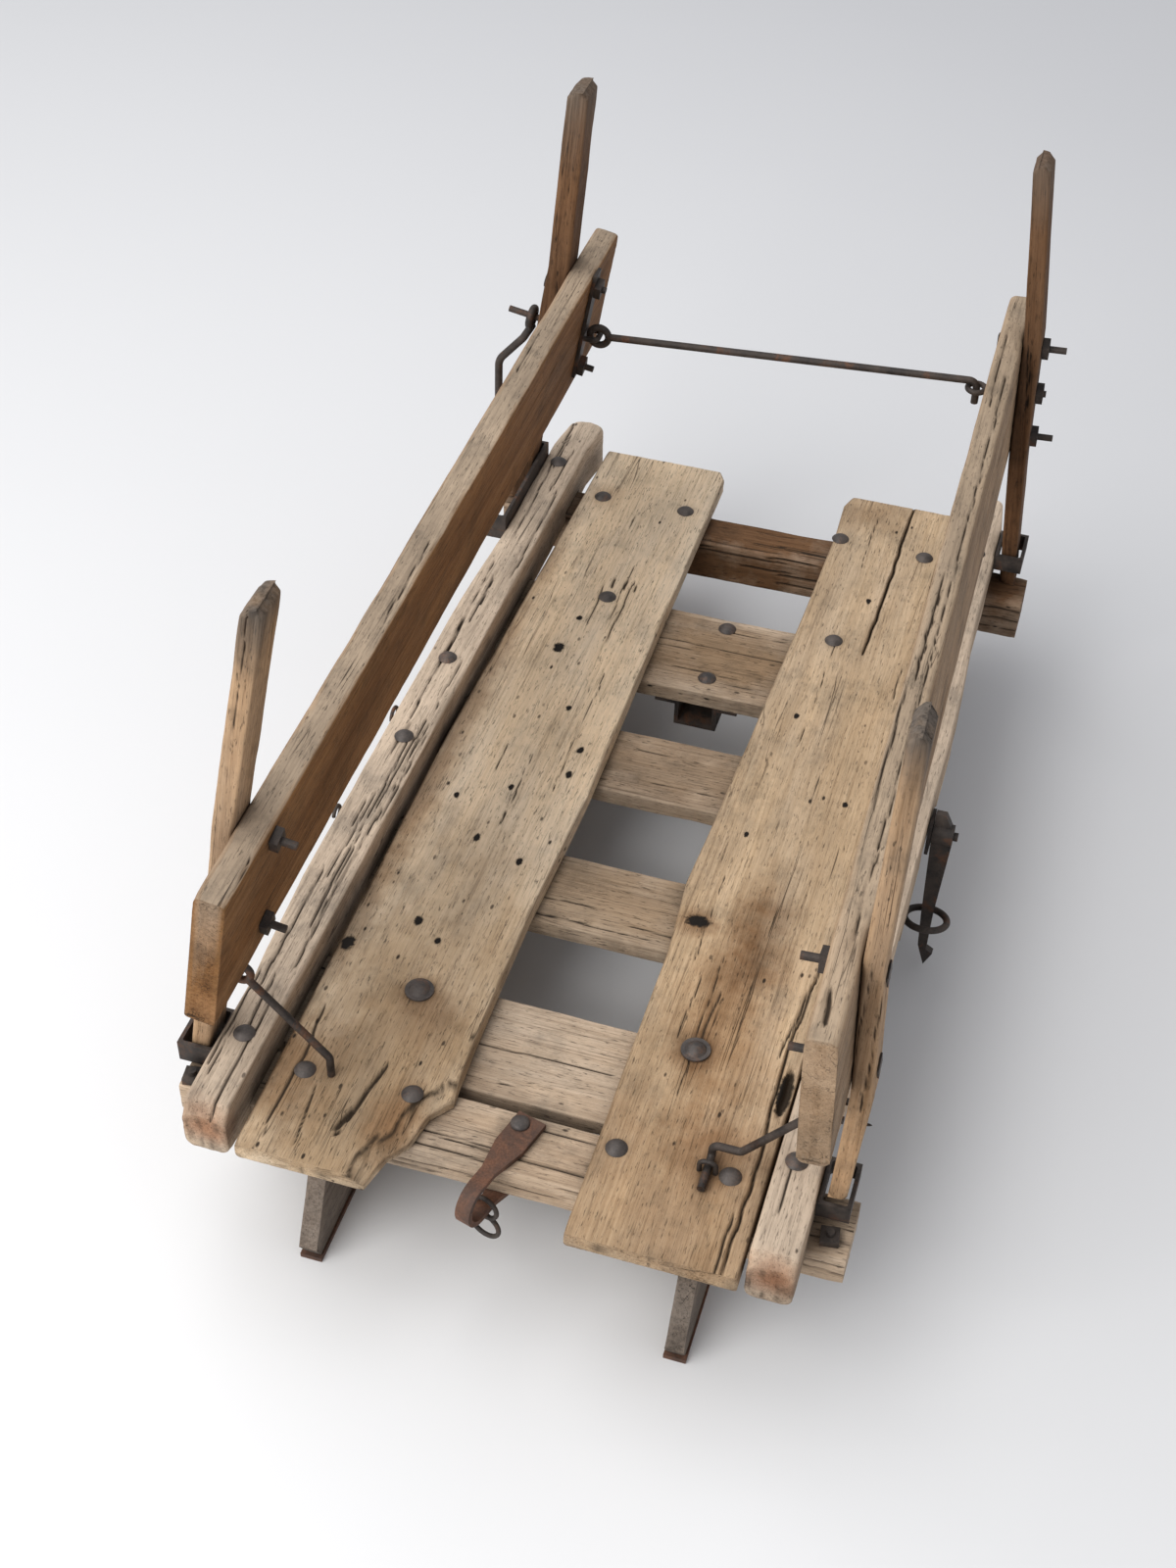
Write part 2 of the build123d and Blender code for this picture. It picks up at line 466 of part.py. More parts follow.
# outwards from the stake's outer face, height above the rail's middle
GRIP_PATH = ((GRIP_OFF, -GRIP_EYE), (GRIP_OFF + 12, -32), (GRIP_OFF + 45, -70), (GRIP_OFF + 46, -126))
GRIP_Z = GRIP_HEIGHT - RAIL_MID
GRIP_LINE = [GRIP_PLANE.from_local_coords((GRIP_FACE + out, GRIP_Z + up, 0)) for out, up in GRIP_PATH]
with BuildPart() as eye_bolt_end:
    with BuildSketch(rack_plane(LEFT_FACE, LEFT_IN, ROD_Y, GRIP_HEIGHT, -STAKE_LR[1] - SEAT, -LEFT_IN)):
        Circle(THREAD_R)
    extrude(amount=GRIP_BOLT)
with BuildPart() as rack_grip:
    with Locations(Plane(origin=rack_point(LEFT_FACE, LEFT_IN, ROD_Y, GRIP_HEIGHT, -STAKE_LR[1] - GRIP_OFF),
                         x_dir=LEFT_FACE.x_dir, z_dir=LEFT_FACE.z_dir)):
        Torus(GRIP_EYE, GRIP_WIRE)
    with BuildLine():
        FilletPolyline(*GRIP_LINE, radius=GRIP_BEND)
    with BuildSketch(Plane(origin=GRIP_LINE[0], z_dir=GRIP_LINE[1] - GRIP_LINE[0])):
        Circle(GRIP_WIRE)
    sweep()

# Front brace hooks: a bar low on each front stake, eye, rod down to the deck, turned tip
HOOK_LEFT_Y = 106.0
HOOK_LEFT_Z = DECK_TOP + 122.0
HOOK_RIGHT_Y = 124.0
HOOK_RIGHT_Z = DECK_TOP + 118.0
HOOK_LOW = 26.0
RIGHT_LOW = 20.0
HOOK_R = 4.0
HOOK_EYE = 10.5
HOOK_BEND = 7.0
LEFT_TIP_X = 115.0 - BED_HALF
RIGHT_BEND_X = BED_HALF - 80.0
RIGHT_TIP_X = BED_HALF - 107.5
RIGHT_TIP_L = 42.0
STAPLE_BACK = 17.0
STAPLE_WIRE = 2.5
STAPLE_HALF = 8.0
STAPLE_H = 14.5


def stake_inward(lean, stake, height):
    share = (height - stake[3]) / (RAIL_MID - KNEE - stake[3])
    offset = stake[2] + share * (lean * KNEE - stake[2])
    return -offset - lean * (height - RAIL_MID)


LEFT_BAR_IN = stake_inward(LEAN_LEFT, STAKE_LF, HOOK_LEFT_Z)
RIGHT_BAR_IN = stake_inward(LEAN_RIGHT, STAKE_RF, HOOK_RIGHT_Z)
LEFT_PIVOT = rack_point(LEFT_FACE, LEFT_IN, HOOK_LEFT_Y, HOOK_LEFT_Z, LEFT_BAR_IN + BAR_OUT)
RIGHT_PIVOT = rack_point(RIGHT_FACE, RIGHT_IN, HOOK_RIGHT_Y, HOOK_RIGHT_Z, RIGHT_BAR_IN + BAR_OUT)
with BuildPart() as hook_staples:
    for face, into, pivot in ((LEFT_FACE, LEFT_IN, LEFT_PIVOT), (RIGHT_FACE, RIGHT_IN, RIGHT_PIVOT)):
        back = Vector(-into * (BAR_OUT - WIRE_SEAT), 0, 0)
        aside = face.x_dir * BAR_HALF
        with BuildLine():
            FilletPolyline(pivot - aside + back, pivot - aside, pivot + aside, pivot + aside + back,
                           radius=BAR_BEND)
        with BuildSketch(Plane(origin=pivot - aside + back, z_dir=back * -1)):
            Circle(BAR_R)
        sweep()
LEFT_HOOK_WAY = Vector(LEFT_TIP_X, LEFT_PIVOT.Y, DECK_TOP + HOOK_LOW) - LEFT_PIVOT
LEFT_HOOK_START = LEFT_PIVOT + LEFT_HOOK_WAY.normalized() * HOOK_EYE
RIGHT_HOOK_WAY = Vector(RIGHT_BEND_X, RIGHT_PIVOT.Y, DECK_TOP + RIGHT_LOW) - RIGHT_PIVOT
RIGHT_HOOK_START = RIGHT_PIVOT + RIGHT_HOOK_WAY.normalized() * HOOK_EYE
TIP_Z = DECK_TOP + HOOK_R + 1
with BuildPart() as front_hook_left:
    with Locations(Plane(origin=LEFT_PIVOT, x_dir=(1, 0, 0), z_dir=LEFT_FACE.x_dir)):
        Torus(HOOK_EYE, HOOK_R)
    with BuildLine():
        FilletPolyline(LEFT_HOOK_START, (LEFT_TIP_X, LEFT_PIVOT.Y, DECK_TOP + HOOK_LOW),
                       (LEFT_TIP_X, LEFT_PIVOT.Y, DECK_TOP + SEAT), radius=HOOK_BEND)
    with BuildSketch(Plane(origin=LEFT_HOOK_START, z_dir=LEFT_HOOK_WAY)):
        Circle(HOOK_R)
    sweep()
with BuildPart() as front_hook_right:
    with Locations(Plane(origin=RIGHT_PIVOT, x_dir=(1, 0, 0), z_dir=RIGHT_FACE.x_dir)):
        Torus(HOOK_EYE, HOOK_R)
    with BuildLine():
        FilletPolyline(RIGHT_HOOK_START, (RIGHT_BEND_X, RIGHT_PIVOT.Y, DECK_TOP + RIGHT_LOW),
                       (RIGHT_TIP_X, RIGHT_PIVOT.Y, DECK_TOP + RIGHT_LOW), (RIGHT_TIP_X, RIGHT_PIVOT.Y, TIP_Z),
                       (RIGHT_TIP_X, RIGHT_PIVOT.Y - RIGHT_TIP_L, TIP_Z), radius=HOOK_BEND)
    with BuildSketch(Plane(origin=RIGHT_HOOK_START, z_dir=RIGHT_HOOK_WAY)):
        Circle(HOOK_R)
    sweep()
STAPLE_Y = RIGHT_PIVOT.Y - STAPLE_BACK
with BuildPart() as deck_staple:
    with BuildLine():
        FilletPolyline((RIGHT_TIP_X - STAPLE_HALF, STAPLE_Y, DECK_TOP + SEAT),
                       (RIGHT_TIP_X - STAPLE_HALF, STAPLE_Y, DECK_TOP + STAPLE_H),
                       (RIGHT_TIP_X + STAPLE_HALF, STAPLE_Y, DECK_TOP + STAPLE_H),
                       (RIGHT_TIP_X + STAPLE_HALF, STAPLE_Y, DECK_TOP + SEAT), radius=HOOK_BEND - 1)
    with BuildSketch(Plane(origin=(RIGHT_TIP_X - STAPLE_HALF, STAPLE_Y, DECK_TOP + SEAT), z_dir=(0, 0, 1))):
        Circle(STAPLE_WIRE)
    sweep()

# Hitch: iron strap folded over the front bolster, its nose open for the tow link
STRAP_T = 6.0
STRAP_W = 31.0
STRAP_X = 6.0
STRAP_Y = 98.0
STRAP_NOSE = 14.0
STRAP_NOSE_W = 16.0
STRAP_NECK = 20.0
STRAP_TAPER = 34.0
STRAP_TAIL = 128.0
STRAP_TURN = 16.0
STRAP_SHORT = 20.0
HITCH = Plane(origin=(STRAP_X, along(STRAP_Y), 0), x_dir=Vector(0, 1, 0).rotate(Axis.Z, -STRAP_TURN),
              z_dir=Vector(1, 0, 0).rotate(Axis.Z, -STRAP_TURN))
STRAP_MID_Z = (CROSS_TOP + FRONT_BOTTOM) / 2
STRAP_BEND = FRONT_BOLSTER_T / 2 + SEAT
NOSE_AT = STRAP_NOSE + STRAP_BEND - STRAP_Y
TAIL_AT = STRAP_TAIL - STRAP_Y
NOSE_END = NOSE_AT - STRAP_BEND - STRAP_T - 1
NECK_AT = NOSE_AT + STRAP_NECK
with BuildPart() as hitch_strap:
    with BuildSketch(HITCH.offset(-STRAP_W / 2)):
        with Locations((NOSE_AT, STRAP_MID_Z)):
            Circle(STRAP_BEND + STRAP_T)
            Circle(STRAP_BEND, mode=Mode.SUBTRACT)
            Rectangle(4 * STRAP_BEND, 4 * STRAP_BEND, align=(Align.MIN, Align.CENTER), mode=Mode.SUBTRACT)
        with Locations((NOSE_AT, CROSS_TOP + SEAT)):
            Rectangle(TAIL_AT - NOSE_AT, STRAP_T, align=(Align.MIN, Align.MIN))
        with Locations((NOSE_AT, FRONT_BOTTOM - SEAT)):
            Rectangle(TAIL_AT - NOSE_AT - STRAP_SHORT, STRAP_T, align=(Align.MIN, Align.MAX))
    extrude(amount=STRAP_W)
    with BuildSketch(Plane(origin=HITCH.origin, x_dir=HITCH.x_dir, z_dir=(0, 0, 1))):
        Polygon((TAIL_AT + 1, -STRAP_W / 2), (TAIL_AT + 1, STRAP_W / 2), (NECK_AT + STRAP_TAPER, STRAP_W / 2),
                (NECK_AT, STRAP_NOSE_W / 2), (NOSE_END, STRAP_NOSE_W / 2), (NOSE_END, -STRAP_NOSE_W / 2),
                (NECK_AT, -STRAP_NOSE_W / 2), (NECK_AT + STRAP_TAPER, -STRAP_W / 2), align=None)
    extrude(amount=2 * DECK_TOP, mode=Mode.INTERSECT)

# Tow link: a wire link of two lobes hanging on the strap's lower leg, ahead of the bolster
LINK_R = 2.5
LINK_TOP_R = 14.0
LINK_LOW_R = 16.0
LINK_PLAY = 4.5
LINK_Y = 12.0
LINK_PIVOT = HITCH.from_local_coords((NOSE_AT + LINK_Y, FRONT_BOTTOM - SEAT + LINK_R + LINK_PLAY, 0))
LINK_AT = LINK_PIVOT - Vector(0, 0, LINK_TOP_R)
LINK_LOW = LINK_AT - Vector(0, 0, LINK_TOP_R + LINK_LOW_R - LINK_R)
with BuildPart() as tow_link:
    with Locations(Plane(origin=LINK_AT, x_dir=HITCH.z_dir, z_dir=HITCH.x_dir)):
        Torus(LINK_TOP_R, LINK_R)
    with Locations(Plane(origin=LINK_LOW, x_dir=HITCH.z_dir, z_dir=HITCH.x_dir)):
        Torus(LINK_LOW_R, LINK_R)

# Pole stirrups under the bed's middle: x, distance of the front edge
STIRRUPS = ((15.0, SLAT_FIRST + 4.0), (0.0, SLAT_LAST + 2.0))
STIRRUP_W = 40.0
STIRRUP_T = 5.0
STIRRUP_HALF = 26.0
STIRRUP_DROP = 36.0
STIRRUP_EAR = 30.0
with BuildPart() as pole_stirrups:
    for stirrup_x, stirrup_y in STIRRUPS:
        stirrup_rear = Vector(stirrup_x, along(stirrup_y) + STIRRUP_W, SLAT_BOTTOM)
        with BuildSketch(Plane(origin=stirrup_rear, x_dir=(1, 0, 0), z_dir=(0, -1, 0))):
            Rectangle(2 * STIRRUP_HALF, STIRRUP_DROP, align=(Align.CENTER, Align.MAX))
            Rectangle(2 * (STIRRUP_HALF - STIRRUP_T), STIRRUP_DROP - STIRRUP_T, align=(Align.CENTER, Align.MAX),
                      mode=Mode.SUBTRACT)
            for ear in (-1, 1):
                with Locations((ear * (STIRRUP_HALF + STIRRUP_EAR / 2 - STIRRUP_T), 0)):
                    Rectangle(STIRRUP_EAR, STIRRUP_T, align=(Align.CENTER, Align.MAX))
        extrude(amount=STIRRUP_W)

# Side hook on the right sill: pin on a plate, tapered lever with a barbed tip, keeper ring round the lever
PIN_Y = 640.0
PIN_Z = DECK_TOP - 12.0
PIN_R = 5.0
PIN_FIT = 0.8
PIN_L = 33.0
PIN_PLATE = (34.0, 40.0)
LEVER_GAP = 5.0
LEVER_W = 23.0
LEVER_TIP_W = 13.0
LEVER_T = 12.0
LEVER_L = 170.0
LEVER_TILT = 14.0
LEVER_TOP = 26.0
BOSS_R = 13.0
BARB = 8.0
RING_R = 24.0
RING_WIRE = 4.0
RING_FIT = 1.5
RING_DROP = 0.62 * LEVER_L
SIDE_FACE = BED_HALF + SILL_BULGE
LEVER_IN = SIDE_FACE + LEVER_GAP
LEVER_MID = LEVER_IN + LEVER_W / 2
with BuildPart() as side_hook_pin:
    with Locations((SIDE_FACE + SEAT, along(PIN_Y), PIN_Z)):
        Box(LEVER_GAP - 1, PIN_PLATE[0], PIN_PLATE[1], align=(Align.MIN, Align.CENTER, Align.CENTER))
    with Locations(Location((SIDE_FACE + SEAT, along(PIN_Y), PIN_Z), (0, 90, 0))):
        Cylinder(PIN_R, PIN_L, align=ON_TOP)
# the lever hangs tilted, its tip towards the front: x to the right, y up the lever
LEVER_PLANE = Plane(origin=(LEVER_MID, along(PIN_Y), PIN_Z), x_dir=(1, 0, 0),
                    z_dir=Vector(0, -1, 0).rotate(Axis.X, -LEVER_TILT))
TIP_HALF = LEVER_TIP_W / 2
with BuildPart() as side_hook_lever:
    with BuildSketch(LEVER_PLANE):
        Polygon((-LEVER_W / 2, LEVER_TOP), (-LEVER_W / 2, -BOSS_R), (-TIP_HALF, -RING_DROP),
                (-TIP_HALF / 2, 3 * BARB - LEVER_L), (TIP_HALF, -LEVER_L),
                (TIP_HALF + BARB, 2 * BARB - LEVER_L), (TIP_HALF, 2.5 * BARB - LEVER_L),
                (TIP_HALF, -RING_DROP), (LEVER_W / 2, -BOSS_R),
                (LEVER_W / 2, BOSS_R / 2), (0, LEVER_TOP), align=None)
    extrude(amount=LEVER_T / 2, both=True)
    with BuildSketch(Plane(origin=(LEVER_IN, along(PIN_Y), PIN_Z), x_dir=(0, 1, 0), z_dir=(1, 0, 0))):
        Circle(BOSS_R)
    extrude(amount=LEVER_W)
    with BuildSketch(Plane(origin=(LEVER_IN, along(PIN_Y), PIN_Z), x_dir=(0, 1, 0), z_dir=(1, 0, 0))):
        Circle(PIN_R + PIN_FIT)
    extrude(amount=LEVER_W, mode=Mode.SUBTRACT)
RING_ASIDE = RING_R - RING_WIRE - LEVER_T / 2 - RING_FIT
RING_AT = LEVER_PLANE.from_local_coords((0, -RING_DROP, RING_ASIDE))
with BuildPart() as keeper_ring:
    with Locations(Plane(origin=RING_AT, x_dir=(1, 0, 0), z_dir=LEVER_PLANE.y_dir)):
        Torus(RING_R, RING_WIRE)

# Labels and files
deck_plank_left.part.label = "deck_plank_left"
export_step(deck_plank_left.part, "parts/deck_plank_left.step")
deck_plank_right.part.label = "deck_plank_right"
export_step(deck_plank_right.part, "parts/deck_plank_right.step")
front_bolster.part.label = "front_bolster"
export_step(front_bolster.part, "parts/front_bolster.step")
rear_bolster.part.label = "rear_bolster"
export_step(rear_bolster.part, "parts/rear_bolster.step")
cross_slats.part.label = "cross_slats"
export_step(cross_slats.part, "parts/cross_slats.step")
sill_left.part.label = "sill_left"
export_step(sill_left.part, "parts/sill_left.step")
sill_right.part.label = "sill_right"
export_step(sill_right.part, "parts/sill_right.step")
runner_left.part.label = "runner_left"
export_step(runner_left.part, "parts/runner_left.step")
runner_right.part.label = "runner_right"
export_step(runner_right.part, "parts/runner_right.step")
shoe_left.part.label = "shoe_left"
export_step(shoe_left.part, "parts/shoe_left.step")
shoe_right.part.label = "shoe_right"
export_step(shoe_right.part, "parts/shoe_right.step")
rail_left.part.label = "rail_left"
export_step(rail_left.part, "parts/rail_left.step")
rail_right.part.label = "rail_right"
export_step(rail_right.part, "parts/rail_right.step")
stake_left_front.part.label = "stake_left_front"
export_step(stake_left_front.part, "parts/stake_left_front.step")
stake_left_rear.part.label = "stake_left_rear"
export_step(stake_left_rear.part, "parts/stake_left_rear.step")
stake_right_front.part.label = "stake_right_front"
export_step(stake_right_front.part, "parts/stake_right_front.step")
stake_right_rear.part.label = "stake_right_rear"
export_step(stake_right_rear.part, "parts/stake_right_rear.step")
stake_pockets_left.part.label = "stake_pockets_left"
export_step(stake_pockets_left.part, "parts/stake_pockets_left.step")
stake_pockets_right.part.label = "stake_pockets_right"
export_step(stake_pockets_right.part, "parts/stake_pockets_right.step")
deck_bolts.part.label = "deck_bolts"
export_step(deck_bolts.part, "parts/deck_bolts.step")
sill_bolts.part.label = "sill_bolts"
export_step(sill_bolts.part, "parts/sill_bolts.step")
slat_bolts.part.label = "slat_bolts"
export_step(slat_bolts.part, "parts/slat_bolts.step")
bolster_nuts.part.label = "bolster_nuts"
export_step(bolster_nuts.part, "parts/bolster_nuts.step")
rail_plate.part.label = "rail_plate"
export_step(rail_plate.part, "parts/rail_plate.step")
rack_bolts_left.part.label = "rack_bolts_left"
export_step(rack_bolts_left.part, "parts/rack_bolts_left.step")
rack_bolts_right.part.label = "rack_bolts_right"
export_step(rack_bolts_right.part, "parts/rack_bolts_right.step")
tie_rod_bar.part.label = "tie_rod_bar"
export_step(tie_rod_bar.part, "parts/tie_rod_bar.step")
tie_rod.part.label = "tie_rod"
export_step(tie_rod.part, "parts/tie_rod.step")
tie_rod_keeper.part.label = "tie_rod_keeper"
export_step(tie_rod_keeper.part, "parts/tie_rod_keeper.step")
eye_bolt_end.part.label = "eye_bolt_end"
export_step(eye_bolt_end.part, "parts/eye_bolt_end.step")
rack_grip.part.label = "rack_grip"
export_step(rack_grip.part, "parts/rack_grip.step")
hook_staples.part.label = "hook_staples"
export_step(hook_staples.part, "parts/hook_staples.step")
front_hook_left.part.label = "front_hook_left"
export_step(front_hook_left.part, "parts/front_hook_left.step")
front_hook_right.part.label = "front_hook_right"
export_step(front_hook_right.part, "parts/front_hook_right.step")
deck_staple.part.label = "deck_staple"
export_step(deck_staple.part, "parts/deck_staple.step")
hitch_strap.part.label = "hitch_strap"
export_step(hitch_strap.part, "parts/hitch_strap.step")
tow_link.part.label = "tow_link"
export_step(tow_link.part, "parts/tow_link.step")
pole_stirrups.part.label = "pole_stirrups"
export_step(pole_stirrups.part, "parts/pole_stirrups.step")
side_hook_pin.part.label = "side_hook_pin"
export_step(side_hook_pin.part, "parts/side_hook_pin.step")
side_hook_lever.part.label = "side_hook_lever"
export_step(side_hook_lever.part, "parts/side_hook_lever.step")
keeper_ring.part.label = "keeper_ring"
export_step(keeper_ring.part, "parts/keeper_ring.step")
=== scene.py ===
"""Looks of the wooden sled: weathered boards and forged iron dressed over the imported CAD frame."""

import json
import math

import bmesh
import bpy
import numpy as np
from mathutils import Matrix, Vector


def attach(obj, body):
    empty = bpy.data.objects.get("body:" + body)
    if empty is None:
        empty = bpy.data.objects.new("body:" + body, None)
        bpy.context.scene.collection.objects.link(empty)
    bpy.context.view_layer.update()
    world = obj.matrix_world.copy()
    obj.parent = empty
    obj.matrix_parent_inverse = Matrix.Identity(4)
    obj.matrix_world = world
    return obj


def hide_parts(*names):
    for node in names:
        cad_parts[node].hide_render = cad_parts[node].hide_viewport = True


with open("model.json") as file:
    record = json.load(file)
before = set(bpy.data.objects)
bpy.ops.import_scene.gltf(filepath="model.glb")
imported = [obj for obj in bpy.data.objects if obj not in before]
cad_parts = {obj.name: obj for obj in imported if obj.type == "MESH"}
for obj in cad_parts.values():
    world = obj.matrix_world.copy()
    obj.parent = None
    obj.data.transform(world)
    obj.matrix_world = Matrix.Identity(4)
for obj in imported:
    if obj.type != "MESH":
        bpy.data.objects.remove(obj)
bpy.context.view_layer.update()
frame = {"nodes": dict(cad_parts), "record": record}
MM = 0.001
BED_FRONT = -620.0
DECK_Z = 0.19
BODY_OF = {n: b for b, members in frame["record"]["behaviour"]["bodies"].items() for n in members}


# Seeded value noise, so that every run gives the same boards
def lattice(ix, iy, iz, seed):
    h = ix * 374761393 + iy * 668265263 + iz * 2147483647 + seed * 144665
    h = (h ^ (h >> 13)) * 1274126177
    h = h ^ (h >> 16)
    return (h & 0xFFFF) / 32767.5 - 1.0


def noise(points, seed):
    cell = np.floor(points).astype(np.int64)
    part = points - cell
    part = part * part * (3 - 2 * part)
    total = np.zeros(len(points))
    for dx in (0, 1):
        for dy in (0, 1):
            for dz in (0, 1):
                share = (
                    np.abs(1 - dx - part[:, 0]) * np.abs(1 - dy - part[:, 1]) * np.abs(1 - dz - part[:, 2])
                )
                total += share * lattice(cell[:, 0] + dx, cell[:, 1] + dy, cell[:, 2] + dz, seed)
    return total


def solids_of(node):
    """The CAD node's separate solids, each as points and triangle corners."""
    mesh = frame["nodes"][node].data
    points = np.array([v.co for v in mesh.vertices], float).reshape(-1, 3)
    mesh.calc_loop_triangles()
    corners = np.array([t.vertices[:] for t in mesh.loop_triangles])
    same = np.unique(np.round(points, 6), axis=0, return_inverse=True)[1].reshape(-1)
    label = np.arange(same.max() + 1)
    joined = same[corners]
    while True:
        spread = label.copy()
        np.minimum.at(spread, joined.ravel(), np.repeat(label[joined].min(1), 3))
        if (spread == label).all():
            break
        label = spread
    group = label[joined[:, 0]]
    return [(points, corners[group == g]) for g in np.unique(group)]


# Board frames: unit vectors along the grain, across the face and through the thickness
FACES_TRIED = 12
SAME_WAY = 0.9999
TINY = 1e-9


def widest_normal(solid):
    points, corners = solid
    a, b, c = (points[corners[:, k]] for k in range(3))
    cross = np.cross(b - a, c - a)
    area = np.linalg.norm(cross, axis=1)
    unit = cross / np.maximum(area, 1e-12)[:, None]
    unit *= np.where(unit[:, [np.argmax(np.abs(unit[np.argmax(area)]))]] < 0, -1, 1)
    totals = [(area[(unit @ n) > SAME_WAY].sum(), tuple(n)) for n in unit[np.argsort(-area)[:FACES_TRIED]]]
    return np.array(max(totals)[1])


def board_axes(solid, grain):
    through = widest_normal(solid)
    along = np.array(grain, float)
    along -= through * (along @ through)
    along /= np.linalg.norm(along)
    return np.stack([along, np.cross(through, along), through])


def slice_limits(solid, axes, stations):
    """Lowest and highest (across, through) of the solid at each station along the grain."""
    points, corners = solid
    local = points @ axes.T
    edges = np.concatenate([corners[:, [0, 1]], corners[:, [1, 2]], corners[:, [2, 0]]])
    p, q = local[edges[:, 0]], local[edges[:, 1]]
    limits = []
    for s in stations:
        hit = (p[:, 0] - s) * (q[:, 0] - s) <= 0
        hit &= np.abs(p[:, 0] - q[:, 0]) > TINY
        share = ((s - p[hit, 0]) / (q[hit, 0] - p[hit, 0]))[:, None]
        found = p[hit] + share * (q[hit] - p[hit])
        limits.append(np.concatenate([found[:, 1:].min(0), found[:, 1:].max(0)]))
    return np.array(limits)


STEP_GAP = 0.35 * MM
END_GAP = 0.02 * MM
LEAST_STEP = 0.15 * MM


def stations_of(solid, axes, spacing):
    """Even steps along the grain, with a pair of stations round every corner of the solid."""
    local = solid[0][np.unique(solid[1])] @ axes.T
    marks = np.unique(np.round(local[:, 0], 5))
    low, high = marks[0], marks[-1]
    even = np.linspace(low, high, max(4, int((high - low) / spacing)))
    steps = np.concatenate([marks - STEP_GAP, marks + STEP_GAP])
    found = np.unique(np.clip(np.concatenate([even, steps]), low + END_GAP, high - END_GAP))
    keep = np.concatenate([[True], np.diff(found) > LEAST_STEP])
    return found[keep]


def ring_of(across, through, pitch):
    """Signed unit positions round a rectangle's outline, as (u, v) in -1..1."""
    n = max(4, int(across / pitch))
    m = max(3, int(through / pitch))
    us, vs = np.linspace(-1, 1, n + 1), np.linspace(-1, 1, m + 1)
    top = [(u, 1.0) for u in us[:-1]]
    side = [(1.0, v) for v in vs[::-1][:-1]]
    bottom = [(u, -1.0) for u in us[::-1][:-1]]
    back = [(-1.0, v) for v in vs[:-1]]
    return np.array(top + side + bottom + back)


def quads_between(ring, other):
    """Quads from rings of point numbers to the next rings."""
    return np.stack([ring, np.roll(ring, -1, -1), np.roll(other, -1, -1), other], -1).reshape(-1, 4)


def path_distance(spot, path):
    """Distance of plane points from a polyline, and how far along it the nearest point lies, 0..1."""
    best, share = np.full(len(spot), 1e9), np.zeros(len(spot))
    path = np.array(path, float)
    lengths = np.linalg.norm(np.diff(path, axis=0), axis=1)
    passed = 0.0
    for a, b, length in zip(path[:-1], path[1:], lengths):
        way = (b - a) / length
        t = np.clip((spot - a) @ way, 0, length)
        gap = np.linalg.norm(spot - a - t[:, None] * way, axis=1)
        nearer = gap < best
        best = np.where(nearer, gap, best)
        share = np.where(nearer, (passed + t) / lengths.sum(), share)
        passed += length
    return best, share


# A board's faces: the axis a face looks along (0 across, 1 through) and its side
TOP, UNDER, PLUS, MINUS = (1, 1), (1, -1), (0, 1), (0, -1)
ON_FACE = 0.99
# Lengths over which wear, grain, warp, cracks and torn edges change, and how far they go
WEAR_RUN = 0.05
END_RUN = 6 * MM
LEAST_RADIUS = 0.5 * MM
RIDGE, GRAIN_RUN, GRAIN_WIDTH = 0.35 * MM, 0.16, 0.006
WARP, WARP_RUN, WARP_WIDTH = 0.6 * MM, 0.22, 0.09
WANDER, WANDER_RUN = 1.3 * MM, 0.02
CHECK_SHORT, CHECK_LONG, CHECK_DRIFT = 0.03, 0.22, 2
TORN, TORN_RUN, TORN_WIDTH, TORN_RIM = 6 * MM, 0.03, 0.004, 2.5 * MM
END_STEPS = (0.82, 0.6, 0.36, 0.14)
END_ROUGH, END_DOME = 0.35 * MM, 0.4 * MM
END_GRAIN = (1.0, 0.0035, 0.016)


